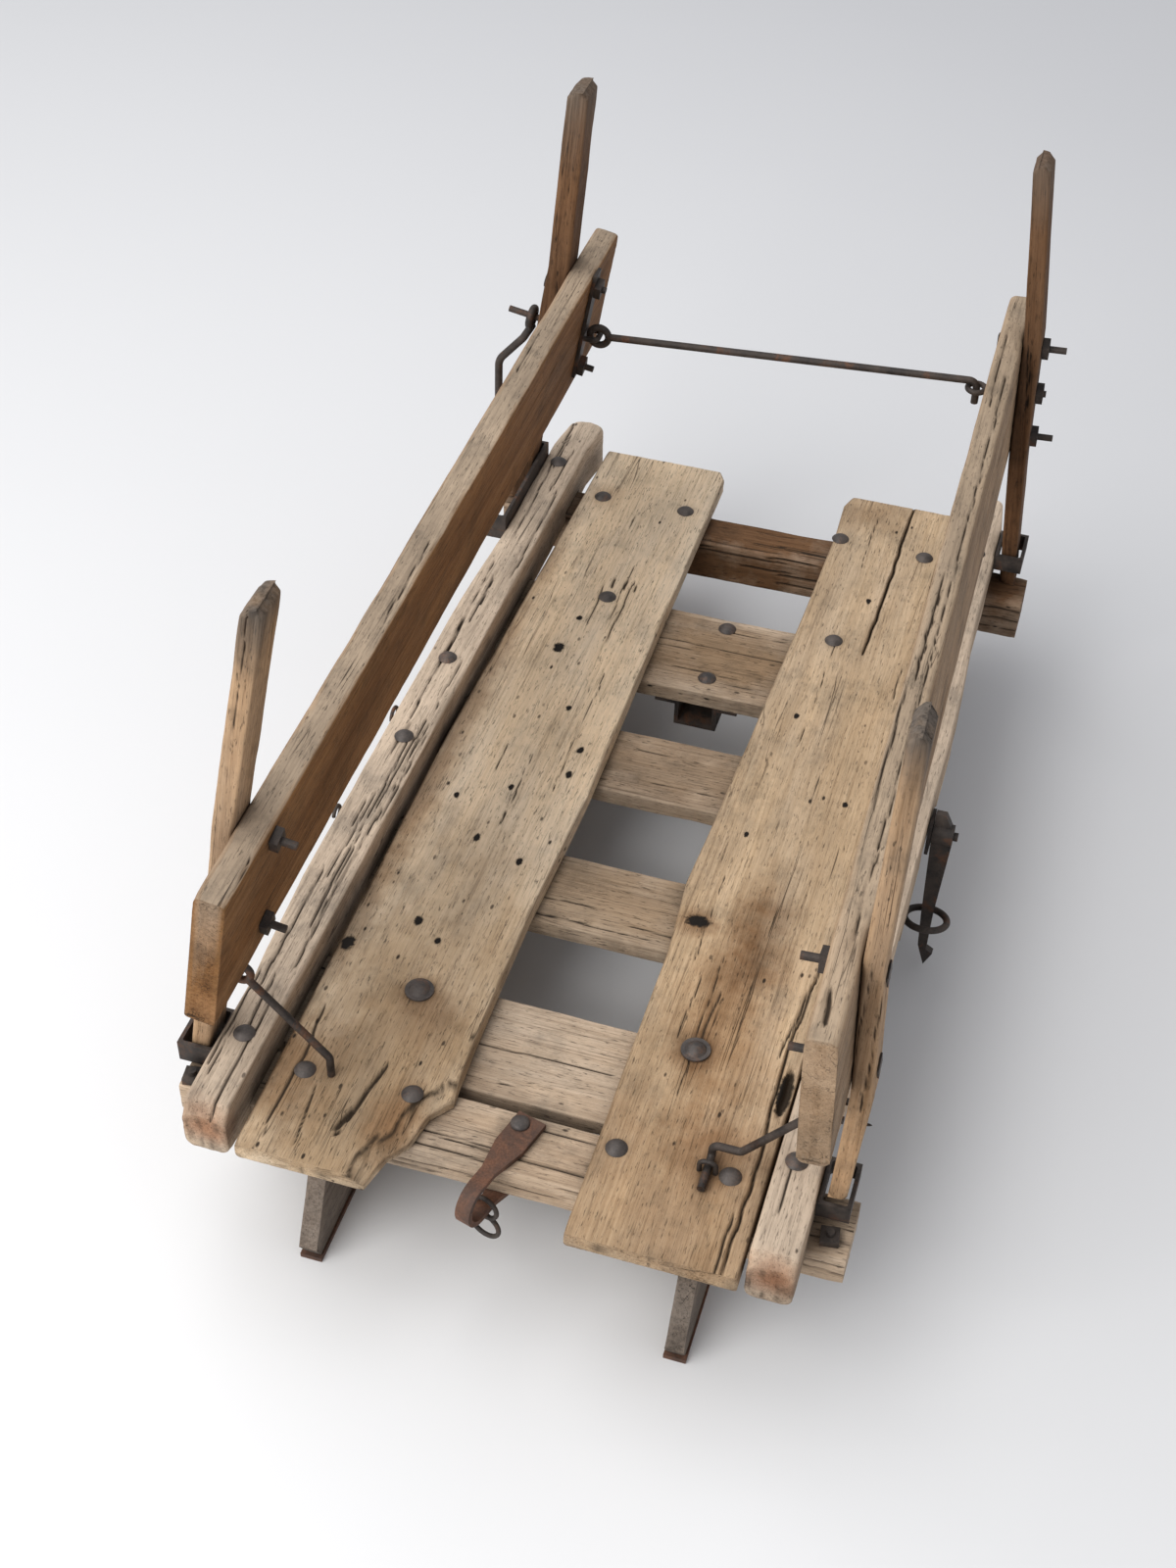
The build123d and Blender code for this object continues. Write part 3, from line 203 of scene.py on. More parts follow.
class Board:
    """One solid lofted along its grain, then weathered step by step."""

    def __init__(self, solid, grain, seed, pitch, spacing):
        self.seed = seed
        self.axes = board_axes(solid, grain)
        self.stations = stations_of(solid, self.axes, spacing)
        limits = slice_limits(solid, self.axes, self.stations)
        low, high = limits[:, :2], limits[:, 2:]
        ring = ring_of(*(high - low).max(0), pitch)
        self.turn = len(ring)
        self.along = np.repeat(self.stations, self.turn)
        self.centre = np.repeat((low + high) / 2, self.turn, axis=0)
        self.reach = np.repeat((high - low) / 2, self.turn, axis=0)
        self.unit = np.tile(ring, (len(self.stations), 1))
        self.flat = self.unit * self.reach
        self.dark = np.zeros(len(self.along))

    def flatten(self, path, face):
        """Places in the part's frame as (along, level) on a face."""
        return np.array(path) @ self.axes.T[:, [0, 2 - face[0]]]

    def round_corners(self, wear, end_wear):
        """Corners worn round by a radius that wanders along the edge."""
        corner = np.sign(self.unit)
        where = np.stack([self.along / WEAR_RUN, corner[:, 0] * 3.7, corner[:, 1] * 5.3], 1)
        radius = wear * (1.0 + 0.75 * noise(where, self.seed) + 0.35 * noise(where * 3.1, self.seed + 1))
        from_end = np.minimum(self.along - self.stations[0], self.stations[-1] - self.along)
        radius += end_wear * np.exp(-from_end / END_RUN)
        radius = np.clip(radius, LEAST_RADIUS, 0.96 * self.reach.min(1))
        inner = np.maximum(self.reach - radius[:, None], 0)
        over = np.maximum(np.abs(self.flat) - inner, 0)
        length = np.linalg.norm(over, axis=1)
        self.rounded = (over > TINY).all(1)
        bent = self.rounded[:, None]
        shrink = np.where(self.rounded & (length > radius), radius / np.maximum(length, TINY), 1.0)
        self.flat = np.where(bent, np.sign(self.flat) * (inner + over * shrink[:, None]), self.flat)
        normal = np.where(bent, over, np.where(np.abs(self.unit) > SAME_WAY, 1.0, 0.0)) * corner
        self.normal = normal / np.maximum(np.linalg.norm(normal, axis=1), TINY)[:, None]

    def raise_grain(self):
        """Raised grain and a slow warp, stretched along the board."""
        at = self.centre + self.flat
        spot = np.column_stack([self.along / GRAIN_RUN, at / GRAIN_WIDTH])
        grainy = noise(spot, self.seed + 2) + 0.6 * noise(spot * (2.3, 2.1, 2.1), self.seed + 3)
        slow = noise(np.column_stack([self.along / WARP_RUN, self.flat / WARP_WIDTH]), self.seed + 4)
        rise = RIDGE * (grainy - 0.6) + WARP * np.minimum(slow, 0.0)
        self.flat = self.flat + self.normal * rise[:, None]

    def crack_lines(self, marks, checks):
        """Cracks seen in the photograph, then a few drying checks of the board's own."""
        lines = [(face, self.flatten(path, face), half, deep) for face, path, half, deep in marks]
        chance = np.random.default_rng(self.seed)
        first, last = self.stations[0], self.stations[-1]
        for face, many, half, deep in checks:
            side = 1 - face[0]
            for _ in range(many):
                start = first + (last - first) * chance.uniform(-0.05, 0.95)
                run = chance.uniform(CHECK_SHORT, CHECK_LONG)
                level = self.centre[:, side].mean() + self.reach[:, side].mean() * chance.uniform(-0.85, 0.85)
                finish = level + chance.uniform(-CHECK_DRIFT, CHECK_DRIFT) * MM
                path = [(start, level), (start + run, finish)]
                lines.append((face, path, half * chance.uniform(0.6, 1.3), deep))
        return lines

    def open_cracks(self, marks, checks):
        still = np.zeros(len(self.along))
        wander = WANDER * noise(np.stack([self.along / WANDER_RUN, still, still], 1), self.seed + 9)
        for face, path, half, deep in self.crack_lines(marks, checks):
            side = 1 - face[0]
            place = np.stack([self.along, self.centre[:, side] + self.flat[:, side] + wander], 1)
            gap, share = path_distance(place, path)
            taper = np.sqrt(np.clip(6 * share * (1 - share) + 0.25, 0, 1))
            dip = np.exp(-((gap / (half * taper)) ** 2)) * (self.unit[:, face[0]] * face[1] > ON_FACE)
            self.flat[:, face[0]] -= face[1] * dip * deep
            self.dark = np.maximum(self.dark, dip)

    def break_edges(self, broken):
        """The top is split away towards each break, in ragged steps along the grain."""
        for path, wide, deep in broken:
            level = self.centre[:, 0] + self.flat[:, 0]
            still = np.zeros(len(level))
            ragged = noise(np.stack([self.along / TORN_RUN, level / TORN_WIDTH, still], 1), self.seed + 12)
            gap = path_distance(np.stack([self.along, level], 1), self.flatten(path, TOP))[0] + TORN * ragged
            lost = np.clip(1.15 - gap / wide, 0, 1) ** 0.6 * deep * (1 + 0.25 * ragged)
            share = np.clip(1 - lost / (2 * self.reach[:, 1]), 0.15, 1)
            self.flat[:, 1] = (self.flat[:, 1] + self.reach[:, 1]) * share - self.reach[:, 1]
            rim = np.exp(-(((gap - wide) / TORN_RIM) ** 2)) * (self.unit[:, 1] > ON_FACE)
            torn = 0.45 * (lost > 0.1 * MM) * (0.6 + 0.4 * ragged)
            self.dark = np.maximum(self.dark, np.maximum(0.75 * rim, torn))

    def close(self, end_wear):
        """Points, faces, grain places, darkness and edge wear; the ends step in, rough like sawn end grain."""
        skin = np.column_stack([self.along, self.centre + self.flat])
        index = np.arange(len(skin)).reshape(-1, self.turn)
        verts, quads, caps, base = [skin], [quads_between(index[:-1], index[1:])], [], len(skin)
        for end, outward in ((0, -1), (-1, 1)):
            ring = index[end]
            rim = skin[ring]
            heart = rim.mean(0)
            for share in END_STEPS:
                inset = heart + (rim - heart) * share
                rough = noise(inset / 0.004, self.seed + 6) * END_ROUGH
                dome = outward * (1 - share) * end_wear * 0.35
                inset[:, 0] += rough + np.clip(dome, -END_DOME, END_DOME)
                verts.append(inset)
                inner = base + np.arange(self.turn)
                quads.append(quads_between(ring, inner)[:, ::outward])
                ring, base = inner, base + self.turn
            caps.append(ring[::outward].tolist())
        local = np.concatenate(verts)
        ends = local[len(skin):]
        split = np.clip(0.24 + 0.5 * noise(ends / np.array(END_GRAIN), self.seed + 7), 0, 0.9)
        edge = np.concatenate([self.rounded * np.clip(1 - self.dark, 0, 1), np.zeros(len(ends))])
        return local @ self.axes, np.concatenate(quads).tolist() + caps, local, np.concatenate([self.dark, split]), edge


SEED_STEP = 40


def board(node, grain, material, seed, pitch=2.6 * MM, spacing=9 * MM, wear=2.2 * MM, end_wear=2.0 * MM,
          marks=(), checks=(), broken=()):
    """Dresses every solid of a wooden CAD node as a board and takes the node's place."""
    points, faces, places, darks, edges, base = [], [], [], [], [], 0
    for step, solid in enumerate(solids_of(node)):
        own_seed = seed + SEED_STEP * step
        shape = Board(solid, grain, own_seed, pitch, spacing)
        shape.round_corners(wear, end_wear)
        shape.raise_grain()
        shape.open_cracks(marks, checks)
        shape.break_edges(broken)
        spots, sides, local, dark, edge = shape.close(end_wear)
        points.append(spots)
        faces += [[i + base for i in side] for side in sides]
        # each board is cut from another place in the grain
        places.append(local + np.array([own_seed * 1.37, seed * 0.71 + step, seed * 0.29]))
        darks.append(dark)
        edges.append(edge)
        base += len(spots)
    mesh = bpy.data.meshes.new(node + "_board")
    mesh.from_pydata(np.concatenate(points).tolist(), [], faces)
    solid = bmesh.new()
    solid.from_mesh(mesh)
    bmesh.ops.recalc_face_normals(solid, faces=solid.faces)
    solid.to_mesh(mesh)
    solid.free()
    flow = mesh.attributes.new("grain", "FLOAT_VECTOR", "POINT")
    flow.data.foreach_set("vector", np.concatenate(places).astype(np.float32).ravel())
    for name, values in (("dark", darks), ("edge", edges)):
        layer = mesh.attributes.new(name, "FLOAT", "POINT")
        layer.data.foreach_set("value", np.concatenate(values).astype(np.float32))
    piece = place_piece(node + "_wood", mesh, material, BODY_OF[node])
    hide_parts(node)


def place_piece(name, mesh, material, body):
    mesh.polygons.foreach_set("use_smooth", [True] * len(mesh.polygons))
    mesh.materials.append(material)
    piece = bpy.data.objects.new(name, mesh)
    bpy.context.scene.collection.objects.link(piece)
    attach(piece, body)
    return piece


class Nodes:
    """A material's node tree, with a short call for each kind of node."""

    def __init__(self, name):
        self.material = bpy.data.materials.new(name)
        self.material.use_nodes = True
        self.tree = self.material.node_tree
        self.shader = self.tree.nodes["Principled BSDF"]

    def add(self, kind, **settings):
        node = self.tree.nodes.new(kind)
        for key, value in settings.items():
            setattr(node, key, value)
        return node

    def link(self, a, b):
        self.tree.links.new(a, b)

    def put(self, socket, value):
        if isinstance(value, bpy.types.NodeSocket):
            self.link(value, socket)
        else:
            socket.default_value = value

    def scaled(self, vector, scale, shift=(0, 0, 0)):
        node = self.add("ShaderNodeMapping")
        self.link(vector, node.inputs["Vector"])
        node.inputs["Scale"].default_value = scale
        node.inputs["Location"].default_value = shift
        return node.outputs["Vector"]

    def noise(self, vector, scale, detail=4.0, rough=0.6, distortion=0.0):
        node = self.add("ShaderNodeTexNoise")
        self.link(vector, node.inputs["Vector"])
        node.inputs["Scale"].default_value = scale
        node.inputs["Detail"].default_value = detail
        node.inputs["Roughness"].default_value = rough
        node.inputs["Distortion"].default_value = distortion
        return node.outputs["Fac"]

    def part(self, vector, axis):
        node = self.add("ShaderNodeSeparateXYZ")
        self.link(vector, node.inputs[0])
        return node.outputs[axis]

    def ramp(self, value, *stops):
        """stops: (position, colour or grey)."""
        node = self.add("ShaderNodeValToRGB")
        self.link(value, node.inputs["Fac"])
        ramp = node.color_ramp
        while len(ramp.elements) < len(stops):
            ramp.elements.new(0.5)
        for element, (position, colour) in zip(ramp.elements, stops):
            element.position = position
            element.color = (*colour, 1) if isinstance(colour, tuple) else (colour, colour, colour, 1)
        return node.outputs["Color"]

    def mix(self, share, a, b, blend="MIX"):
        node = self.add("ShaderNodeMix", data_type="RGBA", blend_type=blend)
        self.put(node.inputs[0], share)
        for socket, value in ((node.inputs[6], a), (node.inputs[7], b)):
            self.put(socket, (*value, 1) if isinstance(value, tuple) else value)
        return node.outputs[2]

    def math(self, operation, a, b=0.0, clamp=False):
        node = self.add("ShaderNodeMath", operation=operation, use_clamp=clamp)
        self.put(node.inputs[0], a)
        self.put(node.inputs[1], b)
        return node.outputs[0]

    def times(self, a, b):
        return self.math("MULTIPLY", a, b)

    def swing(self, value):
        """A noise value as a swing about nought."""
        return self.math("SUBTRACT", value, 0.5)

    def reach(self, place, centre, size):
        """Distance from a spot in units of its size."""
        node = self.add("ShaderNodeVectorMath", operation="DISTANCE")
        self.link(self.scaled(place, tuple(1 / x for x in size)), node.inputs[0])
        node.inputs[1].default_value = tuple(c / x for c, x in zip(centre, size))
        return node.outputs["Value"]

    def bump(self, height, strength, distance):
        node = self.add("ShaderNodeBump")
        node.inputs["Strength"].default_value = strength
        node.inputs["Distance"].default_value = distance
        self.link(height, node.inputs["Height"])
        self.link(node.outputs["Normal"], self.shader.inputs["Normal"])


def shaded(colour, share):
    return tuple(c * share for c in colour)


# Grain features per metre: along, across and through the board
WIDE_GRAIN, STREAKS, FINE_GRAIN, PORES = (1.6, 26, 26), (6, 300, 300), (40, 760, 760), (85, 520, 520)
SILVER_PATCHES, DIRT_PATCHES = (3.5, 16, 16), (5, 11, 11)
LONG_CHECKS, CHECK_AREAS = (2.6, 75, 75), (4, 30, 30)
HOLE_CELLS, HOLE_AREAS = (30, 64, 64), (7, 7, 7)
BLOTCHES, STAIN_RAGGED, KNOT_RAGGED = 17.0, (13, 13, 13), 190.0
CHECK_HALF_WIDTH = 0.011
# how far the painted shade in crevices reaches
CREVICE_SHADE_REACH = 0.03
BROWN_CAST = (1.0, 0.92, 0.84)
BLACK = (0.012, 0.009, 0.007)
WOOD_ROUGHNESS = 0.8
TOP_WANDER = 0.16


# Stains and areas of painted shade: each multiplies the colour within a ragged area
def stained_and_shaded(n, base, place, stains_and_shade):
    for centre, size, colour, amount in stains_and_shade:
        wander = n.noise(n.scaled(place, STAIN_RAGGED), 1.0, 5.0, 0.65)
        far = n.math("ADD", n.reach(place, centre, size), n.times(n.swing(wander), 1.5))
        area = n.times(n.ramp(far, (0.2, 1.0), (1.0, 0.0)), amount)
        base = n.mix(area, base, n.mix(1.0, base, colour, "MULTIPLY"))
    return base


def worm_holes(n, base, height, grain, holes):
    """Small holes scattered in some areas of the board."""
    cell = n.add("ShaderNodeTexVoronoi", feature="F1", distance="EUCLIDEAN")
    n.link(n.scaled(grain, HOLE_CELLS), cell.inputs["Vector"])
    cell.inputs["Scale"].default_value = 1.0
    cell.inputs["Randomness"].default_value = 1.0
    some = n.ramp(cell.outputs["Color"], (0.55 - 0.25 * holes, 0.0), (0.6 - 0.25 * holes, 1.0))
    areas = n.noise(n.scaled(grain, HOLE_AREAS, (2, 2, 2)), 1.0, 3.0)
    gate = n.times(n.ramp(areas, (0.46 - 0.1 * holes, 0.0), (0.56, 1.0)), some)
    hole = n.times(n.ramp(cell.outputs["Distance"], (0.07, 1.0), (0.125, 0.0)), gate)
    return n.mix(n.times(hole, 0.92), base, BLACK), n.math("SUBTRACT", height, n.times(hole, 2.0))


def knots(n, base, height, place, dark, spots):
    """Holes and knots at places seen in the photograph."""
    nearest = None
    for centre, size in spots:
        far = n.reach(place, centre, size)
        nearest = far if nearest is None else n.math("MINIMUM", nearest, far)
    nearest = n.math("ADD", nearest, n.times(n.swing(n.noise(place, KNOT_RAGGED, 3.0)), 0.9))
    base = n.mix(n.times(n.ramp(nearest, (0.5, 1.0), (1.0, 0.0)), 0.5), base, shaded(dark, 0.5))
    pit = n.ramp(n.times(nearest, 0.5), (0.30, 1.0), (0.42, 0.0))
    return n.mix(pit, base, BLACK), n.math("SUBTRACT", height, n.times(pit, 2.5))


def wood(name, light, mid, dark, grey, grey_share, holes=0.0, stains_and_shade=(), spots=(), bleach=0.0, tops=None,
         edge_shift=0.22, grime=0.6, split=0.85):
    """Weathered hardwood: streaked grain, open pores, silvered patches, worm holes, stains and grime, with painted
    shade in crevices, in cracks and in some stain areas.
    """
    n = Nodes(name)
    grain = n.add("ShaderNodeAttribute", attribute_name="grain").outputs["Vector"]
    opened = n.add("ShaderNodeAttribute", attribute_name="dark").outputs["Fac"]
    rounded_edge = n.add("ShaderNodeAttribute", attribute_name="edge").outputs["Fac"]
    place = n.add("ShaderNodeTexCoord").outputs["Object"]
    wide = n.noise(n.scaled(grain, WIDE_GRAIN), 1.0, 3.0, 0.5, 0.5)
    streak = n.noise(n.scaled(grain, STREAKS), 1.0, 6.0, 0.62)
    fine = n.noise(n.scaled(grain, FINE_GRAIN), 1.0, 4.0, 0.6)
    pore = n.noise(n.scaled(grain, PORES, (4, 4, 4)), 1.0, 3.0, 0.6)
    figure = n.math("ADD", n.times(streak, 0.6), n.times(wide, 0.4))
    base = n.ramp(figure, (0.25, dark), (0.42, mid), (0.64, light))
    # silvered areas, and faces turned to the sky
    patch = n.noise(n.scaled(grain, SILVER_PATCHES, (3, 1, 2)), 1.0, 5.0, 0.62)
    share = n.times(n.ramp(patch, (0.42, 0.0), (0.64, 1.0)), grey_share)
    if bleach:
        up = n.part(n.add("ShaderNodeNewGeometry").outputs["Normal"], "Z")
        share = n.math("MAXIMUM", share, n.times(n.ramp(up, (0.35, 0.0), (0.85, 1.0)), bleach))
    silver = n.mix(0.6, grey, n.ramp(streak, (0.30, 0.5), (0.52, 1.0)), "MULTIPLY")
    base = n.mix(share, base, silver)
    base = n.mix(0.7, base, n.ramp(fine, (0.30, 0.35), (0.46, 1.0)), "MULTIPLY")
    base = n.mix(0.85, base, n.ramp(pore, (0.31, 0.25), (0.41, 1.0)), "MULTIPLY")
    # grime: broad darker patches along the grain, blotches over it
    dirt = n.noise(n.scaled(grain, DIRT_PATCHES, (7, 5, 1)), 1.0, 6.0, 0.68)
    base = n.mix(grime, base, n.ramp(dirt, (0.36, 0.5), (0.6, 1.0)), "MULTIPLY")
    blotch = n.ramp(n.noise(place, BLOTCHES, 7.0, 0.7), (0.33, 0.45), (0.5, 1.0))
    base = n.mix(grime, base, n.mix(1.0, blotch, BROWN_CAST, "MULTIPLY"), "MULTIPLY")
    # long drying checks along the grain
    check = n.noise(n.scaled(grain, LONG_CHECKS, (1, 9, 4)), 1.0, 2.0, 0.5, 0.25)
    line = n.ramp(n.math("ABSOLUTE", n.swing(check)), (0.0, 1.0), (CHECK_HALF_WIDTH, 0.0))
    areas = n.noise(n.scaled(grain, CHECK_AREAS, (5, 2, 8)), 1.0, 2.0)
    crack = n.times(line, n.ramp(areas, (0.55, 0.0), (0.63, 1.0)))
    base = n.mix(n.times(crack, split), base, shaded(dark, 0.16))
    height = n.math("ADD", n.times(streak, 0.5), n.times(fine, 0.35))
    height = n.math("SUBTRACT", height, n.times(crack, 0.9))
    # rounded edges are rubbed pale, or darkened where the shift is below nought
    base = n.mix(n.times(rounded_edge, abs(edge_shift)), base, light if edge_shift > 0 else shaded(dark, 0.8))
    # painted shade where boards meet: darker in crevices, from ambient occlusion
    painted_crevice_shade = n.add("ShaderNodeAmbientOcclusion", samples=2)
    painted_crevice_shade.inputs["Distance"].default_value = CREVICE_SHADE_REACH
    base = n.mix(n.ramp(painted_crevice_shade.outputs["AO"], (0.25, 0.72), (0.8, 0.0)), base, shaded(dark, 0.45))
    base = stained_and_shaded(n, base, place, stains_and_shade)
    if tops:
        start, end, colour = tops
        level = n.math("ADD", n.part(place, "Z"), n.times(n.swing(wide), TOP_WANDER))
        level = n.math("DIVIDE", n.math("SUBTRACT", level, start), end - start, clamp=True)
        base = n.mix(level, base, n.mix(0.8, colour, n.ramp(streak, (0.35, 0.3), (0.58, 1.0)), "MULTIPLY"))
    if holes:
        base, height = worm_holes(n, base, height, grain, holes)
    if spots:
        base, height = knots(n, base, height, place, dark, spots)
    shadow = n.ramp(opened, (0.18, 0.0), (0.75, 1.0))
    base = n.mix(n.times(shadow, 0.94), base, shaded(dark, 0.2))
    n.link(base, n.shader.inputs["Base Color"])
    rough = n.ramp(figure, (0.3, WOOD_ROUGHNESS + 0.12), (0.7, WOOD_ROUGHNESS - 0.1))
    n.link(rough, n.shader.inputs["Roughness"])
    n.shader.inputs["Specular IOR Level"].default_value = 0.22
    n.bump(height, 0.6, 1.8 * MM)
    return n.material


# Iron features per metre
SCALE_CLOUDS, RUST_PATCHES, PITS = 55.0, 34.0, 420.0


def iron(name, dark, brown, rust, rust_share, roughness=0.6):
    """Forged iron: dark scale, brown oxide, patches of rust, pitted."""
    n = Nodes(name)
    place = n.add("ShaderNodeTexCoord").outputs["Object"]
    cloud = n.noise(place, SCALE_CLOUDS, 6.0, 0.65)
    speck = n.noise(place, PITS, 4.0, 0.6)
    base = n.ramp(cloud, (0.34, dark), (0.62, brown))
    patch = n.noise(place, RUST_PATCHES, 6.0, 0.7, 0.6)
    patch = n.ramp(patch, (0.62 - 0.3 * rust_share, 0.0), (0.8 - 0.3 * rust_share, 1.0))
    base = n.mix(patch, base, n.mix(0.6, rust, n.ramp(speck, (0.3, 0.45), (0.7, 1.0)), "MULTIPLY"))
    base = n.mix(0.4, base, n.ramp(speck, (0.3, 0.5), (0.65, 1.0)), "MULTIPLY")
    n.link(base, n.shader.inputs["Base Color"])
    n.link(n.ramp(cloud, (0.3, roughness - 0.12), (0.7, roughness + 0.15)), n.shader.inputs["Roughness"])
    n.shader.inputs["Metallic"].default_value = 0.35
    n.shader.inputs["Specular IOR Level"].default_value = 0.4
    n.bump(n.math("ADD", n.times(cloud, 0.6), n.times(speck, 0.4)), 0.5, 0.9 * MM)
    return n.material


def plan(*spots):
    """Places on the deck: x and distance from the deck's front edge in millimetres."""
    return [(x * MM, (distance + BED_FRONT) * MM, 0.0) for x, distance in spots]


STAIN_DEPTH = 0.03


def on_deck(x, distance, size_x, size_y):
    return (x * MM, (distance + BED_FRONT) * MM, DECK_Z), (size_x * MM, size_y * MM, STAIN_DEPTH)


def deck_marks(*rows):
    """Rows of x, distance from the deck's front edge, two sizes, colour and share."""
    return [(*on_deck(*row[:4]), *row[4:]) for row in rows]


# Worm holes, knot and stains seen in the photograph
LEFT_HOLES = [on_deck(x, d, r, 1.5 * r) for x, d, r in (
    (-175, 803, 8), (-168, 865, 4.5), (-178, 326, 6), (-105, 442, 5), (-95, 634, 5), (-95, 591, 5),
    (-151, 551, 4), (-161, 463, 5), (-149, 305, 4.5), (-237, 274, 9), (-130, 700, 4), (-205, 520, 4),
)]
LEFT_STAINS_AND_SHADE = deck_marks(
    # darker over the plank's front
    (-160, 110, 260, 390, (0.56, 0.495, 0.42), 0.9),
    (-120, 223, 40, 60, (0.62, 0.55, 0.5), 0.7),
    (-225, 90, 60, 130, (0.66, 0.56, 0.47), 0.75),
    # painted shade: a dark strip along the plank's left edge, beside the sill
    (-240, 600, 26, 640, (0.48, 0.40, 0.33), 0.8),
    (-214, 1117, 30, 40, (0.6, 0.5, 0.42), 0.6),
    (-143, 235, 26, 34, (0.42, 0.34, 0.28), 0.8),
    (-103, 70, 40, 60, (0.6, 0.45, 0.33), 0.8),
)
RIGHT_HOLES = [on_deck(*row) for row in (
    (103, 417, 17, 11), (243, 222, 9, 36), (214, 640, 4, 6), (128, 770, 4, 6), (165, 1010, 4, 7), (120, 560, 3.5, 6),
)]
RIGHT_STAINS = deck_marks(
    (165, 70, 190, 230, (0.66, 0.58, 0.51), 0.85),
    (166, 400, 52, 120, (0.36, 0.25, 0.16), 0.9),
    (170, 300, 70, 170, (0.66, 0.54, 0.42), 0.8),
    (103, 417, 30, 26, (0.55, 0.42, 0.32), 0.8),
    (146, 246, 26, 34, (0.42, 0.34, 0.28), 0.8),
    (195, 130, 60, 70, (0.7, 0.58, 0.48), 0.7),
    (130, 1190, 60, 60, (0.66, 0.58, 0.5), 0.7),
)
SILL_STAINS = deck_marks(
    (-279, 16, 40, 34, (0.68, 0.45, 0.34), 0.9),
    (279, 16, 40, 34, (0.62, 0.38, 0.27), 0.9),
    (-279, 112, 26, 30, (0.5, 0.42, 0.36), 0.7),
    (275, 126, 26, 40, (0.5, 0.42, 0.36), 0.7),
)
# Each cross bar is darkened by its own share, painted shade under the deck, deepest at the rear bolster: distance from
# the deck's front edge, colour, share
BAR_LEVEL, BAR_SIZE = 0.15, (0.9, 0.1, 0.2)
BAR_SHADE = [((0.0, (d + BED_FRONT) * MM, BAR_LEVEL), BAR_SIZE, colour, share) for d, colour, share in (
    (98, (0.82, 0.78, 0.74), 0.9), (434, (0.62, 0.57, 0.5), 0.9), (653, (0.55, 0.49, 0.42), 0.9),
    (870, (0.60, 0.51, 0.40), 0.9), (1117, (0.33, 0.215, 0.135), 1.0),
)]

# Woods: light, middle and dark grain, then the weathered grey
GREY_TOP = (0.17, 0.135, 0.105)
DARK_TOP = (0.13, 0.105, 0.085)
deck_left_wood = wood(
    "deck_wood_left", (0.87, 0.695, 0.49), (0.72, 0.555, 0.375), (0.19, 0.128, 0.078), (0.68, 0.59, 0.475),
    grey_share=0.5, holes=1.0, stains_and_shade=LEFT_STAINS_AND_SHADE, spots=LEFT_HOLES, edge_shift=-0.5, grime=0.36)
deck_right_wood = wood(
    "deck_wood_right", (0.72, 0.55, 0.365), (0.54, 0.392, 0.246), (0.15, 0.098, 0.057), (0.62, 0.53, 0.425),
    grey_share=0.3, holes=0.25, stains_and_shade=RIGHT_STAINS, spots=RIGHT_HOLES, edge_shift=-0.35, grime=0.5)
frame_wood = wood(
    "frame_wood", (0.70, 0.57, 0.435), (0.50, 0.39, 0.285), (0.13, 0.092, 0.062), (0.66, 0.57, 0.47),
    grey_share=0.5, holes=0.1, stains_and_shade=BAR_SHADE, split=0.4)
sill_wood = wood(
    "sill_wood", (0.66, 0.52, 0.385), (0.47, 0.352, 0.25), (0.12, 0.082, 0.054), (0.70, 0.60, 0.49),
    grey_share=0.5, holes=0.1, stains_and_shade=SILL_STAINS, bleach=0.6)
# darker and browner than the right rail: partly its own browner wood, partly painted shade on its inner face, which
# turns from the light
rail_left_wood_painted_shade = wood(
    "rail_wood_left_painted_shade", (0.33, 0.17, 0.066), (0.2, 0.092, 0.031), (0.06, 0.028, 0.011), (0.50, 0.42, 0.325),
    grey_share=0.06, bleach=0.8)
# paler than the left rail: partly its own tone, partly painted light on its inner face, which turns to the light
rail_right_wood_painted_light = wood(
    "rail_wood_right_painted_light", (0.46, 0.318, 0.2), (0.31, 0.204, 0.12), (0.1, 0.06, 0.033), (0.47, 0.385, 0.29),
    grey_share=0.25, bleach=0.75)
stake_front_wood = wood(
    "stake_wood_front", (0.53, 0.355, 0.212), (0.39, 0.245, 0.133), (0.12, 0.066, 0.033), (0.46, 0.37, 0.285),
    grey_share=0.35, tops=(0.72, 0.785, DARK_TOP))
stake_rear_wood = wood(
    "stake_wood_rear", (0.21, 0.11, 0.052), (0.128, 0.061, 0.026), (0.045, 0.022, 0.01), (0.24, 0.17, 0.12),
    grey_share=0.2, tops=(0.66, 0.79, GREY_TOP))
runner_wood = wood(
    "runner_wood", (0.27, 0.22, 0.18), (0.155, 0.126, 0.103), (0.055, 0.043, 0.035), (0.27, 0.245, 0.22),
    grey_share=0.4)
dark_iron = iron("dark_iron", (0.028, 0.024, 0.022), (0.085, 0.066, 0.055), (0.20, 0.085, 0.04), 0.25)
bolt_iron = iron("bolt_iron", (0.06, 0.053, 0.05), (0.125, 0.105, 0.094), (0.22, 0.12, 0.075), 0.2, 0.55)
rusty_iron = iron("rusty_iron", (0.075, 0.045, 0.034), (0.15, 0.085, 0.06), (0.23, 0.11, 0.066), 0.6, 0.7)

# Cracks of the planks and the right rail: face, path, half width, depth
LEFT_CRACKS = (
    (TOP, plan((-140, 136), (-146, 96), (-152, 58)), 2.0 * MM, 5 * MM),
    (TOP, plan((-152, 72), (-158, 50), (-155, 40)), 3.0 * MM, 5 * MM),
    (TOP, plan((-150, 957), (-146, 934)), 1.6 * MM, 3 * MM),
    (TOP, plan((-134, 958), (-131, 938)), 1.6 * MM, 3 * MM),
    (TOP, plan((-119, 952), (-117, 936)), 1.4 * MM, 2 * MM),
    (TOP, plan((-190, 20), (-196, 86)), 1.2 * MM, 2 * MM),
    (TOP, plan((-225, 30), (-222, 120), (-228, 190)), 1.4 * MM, 3 * MM),
)
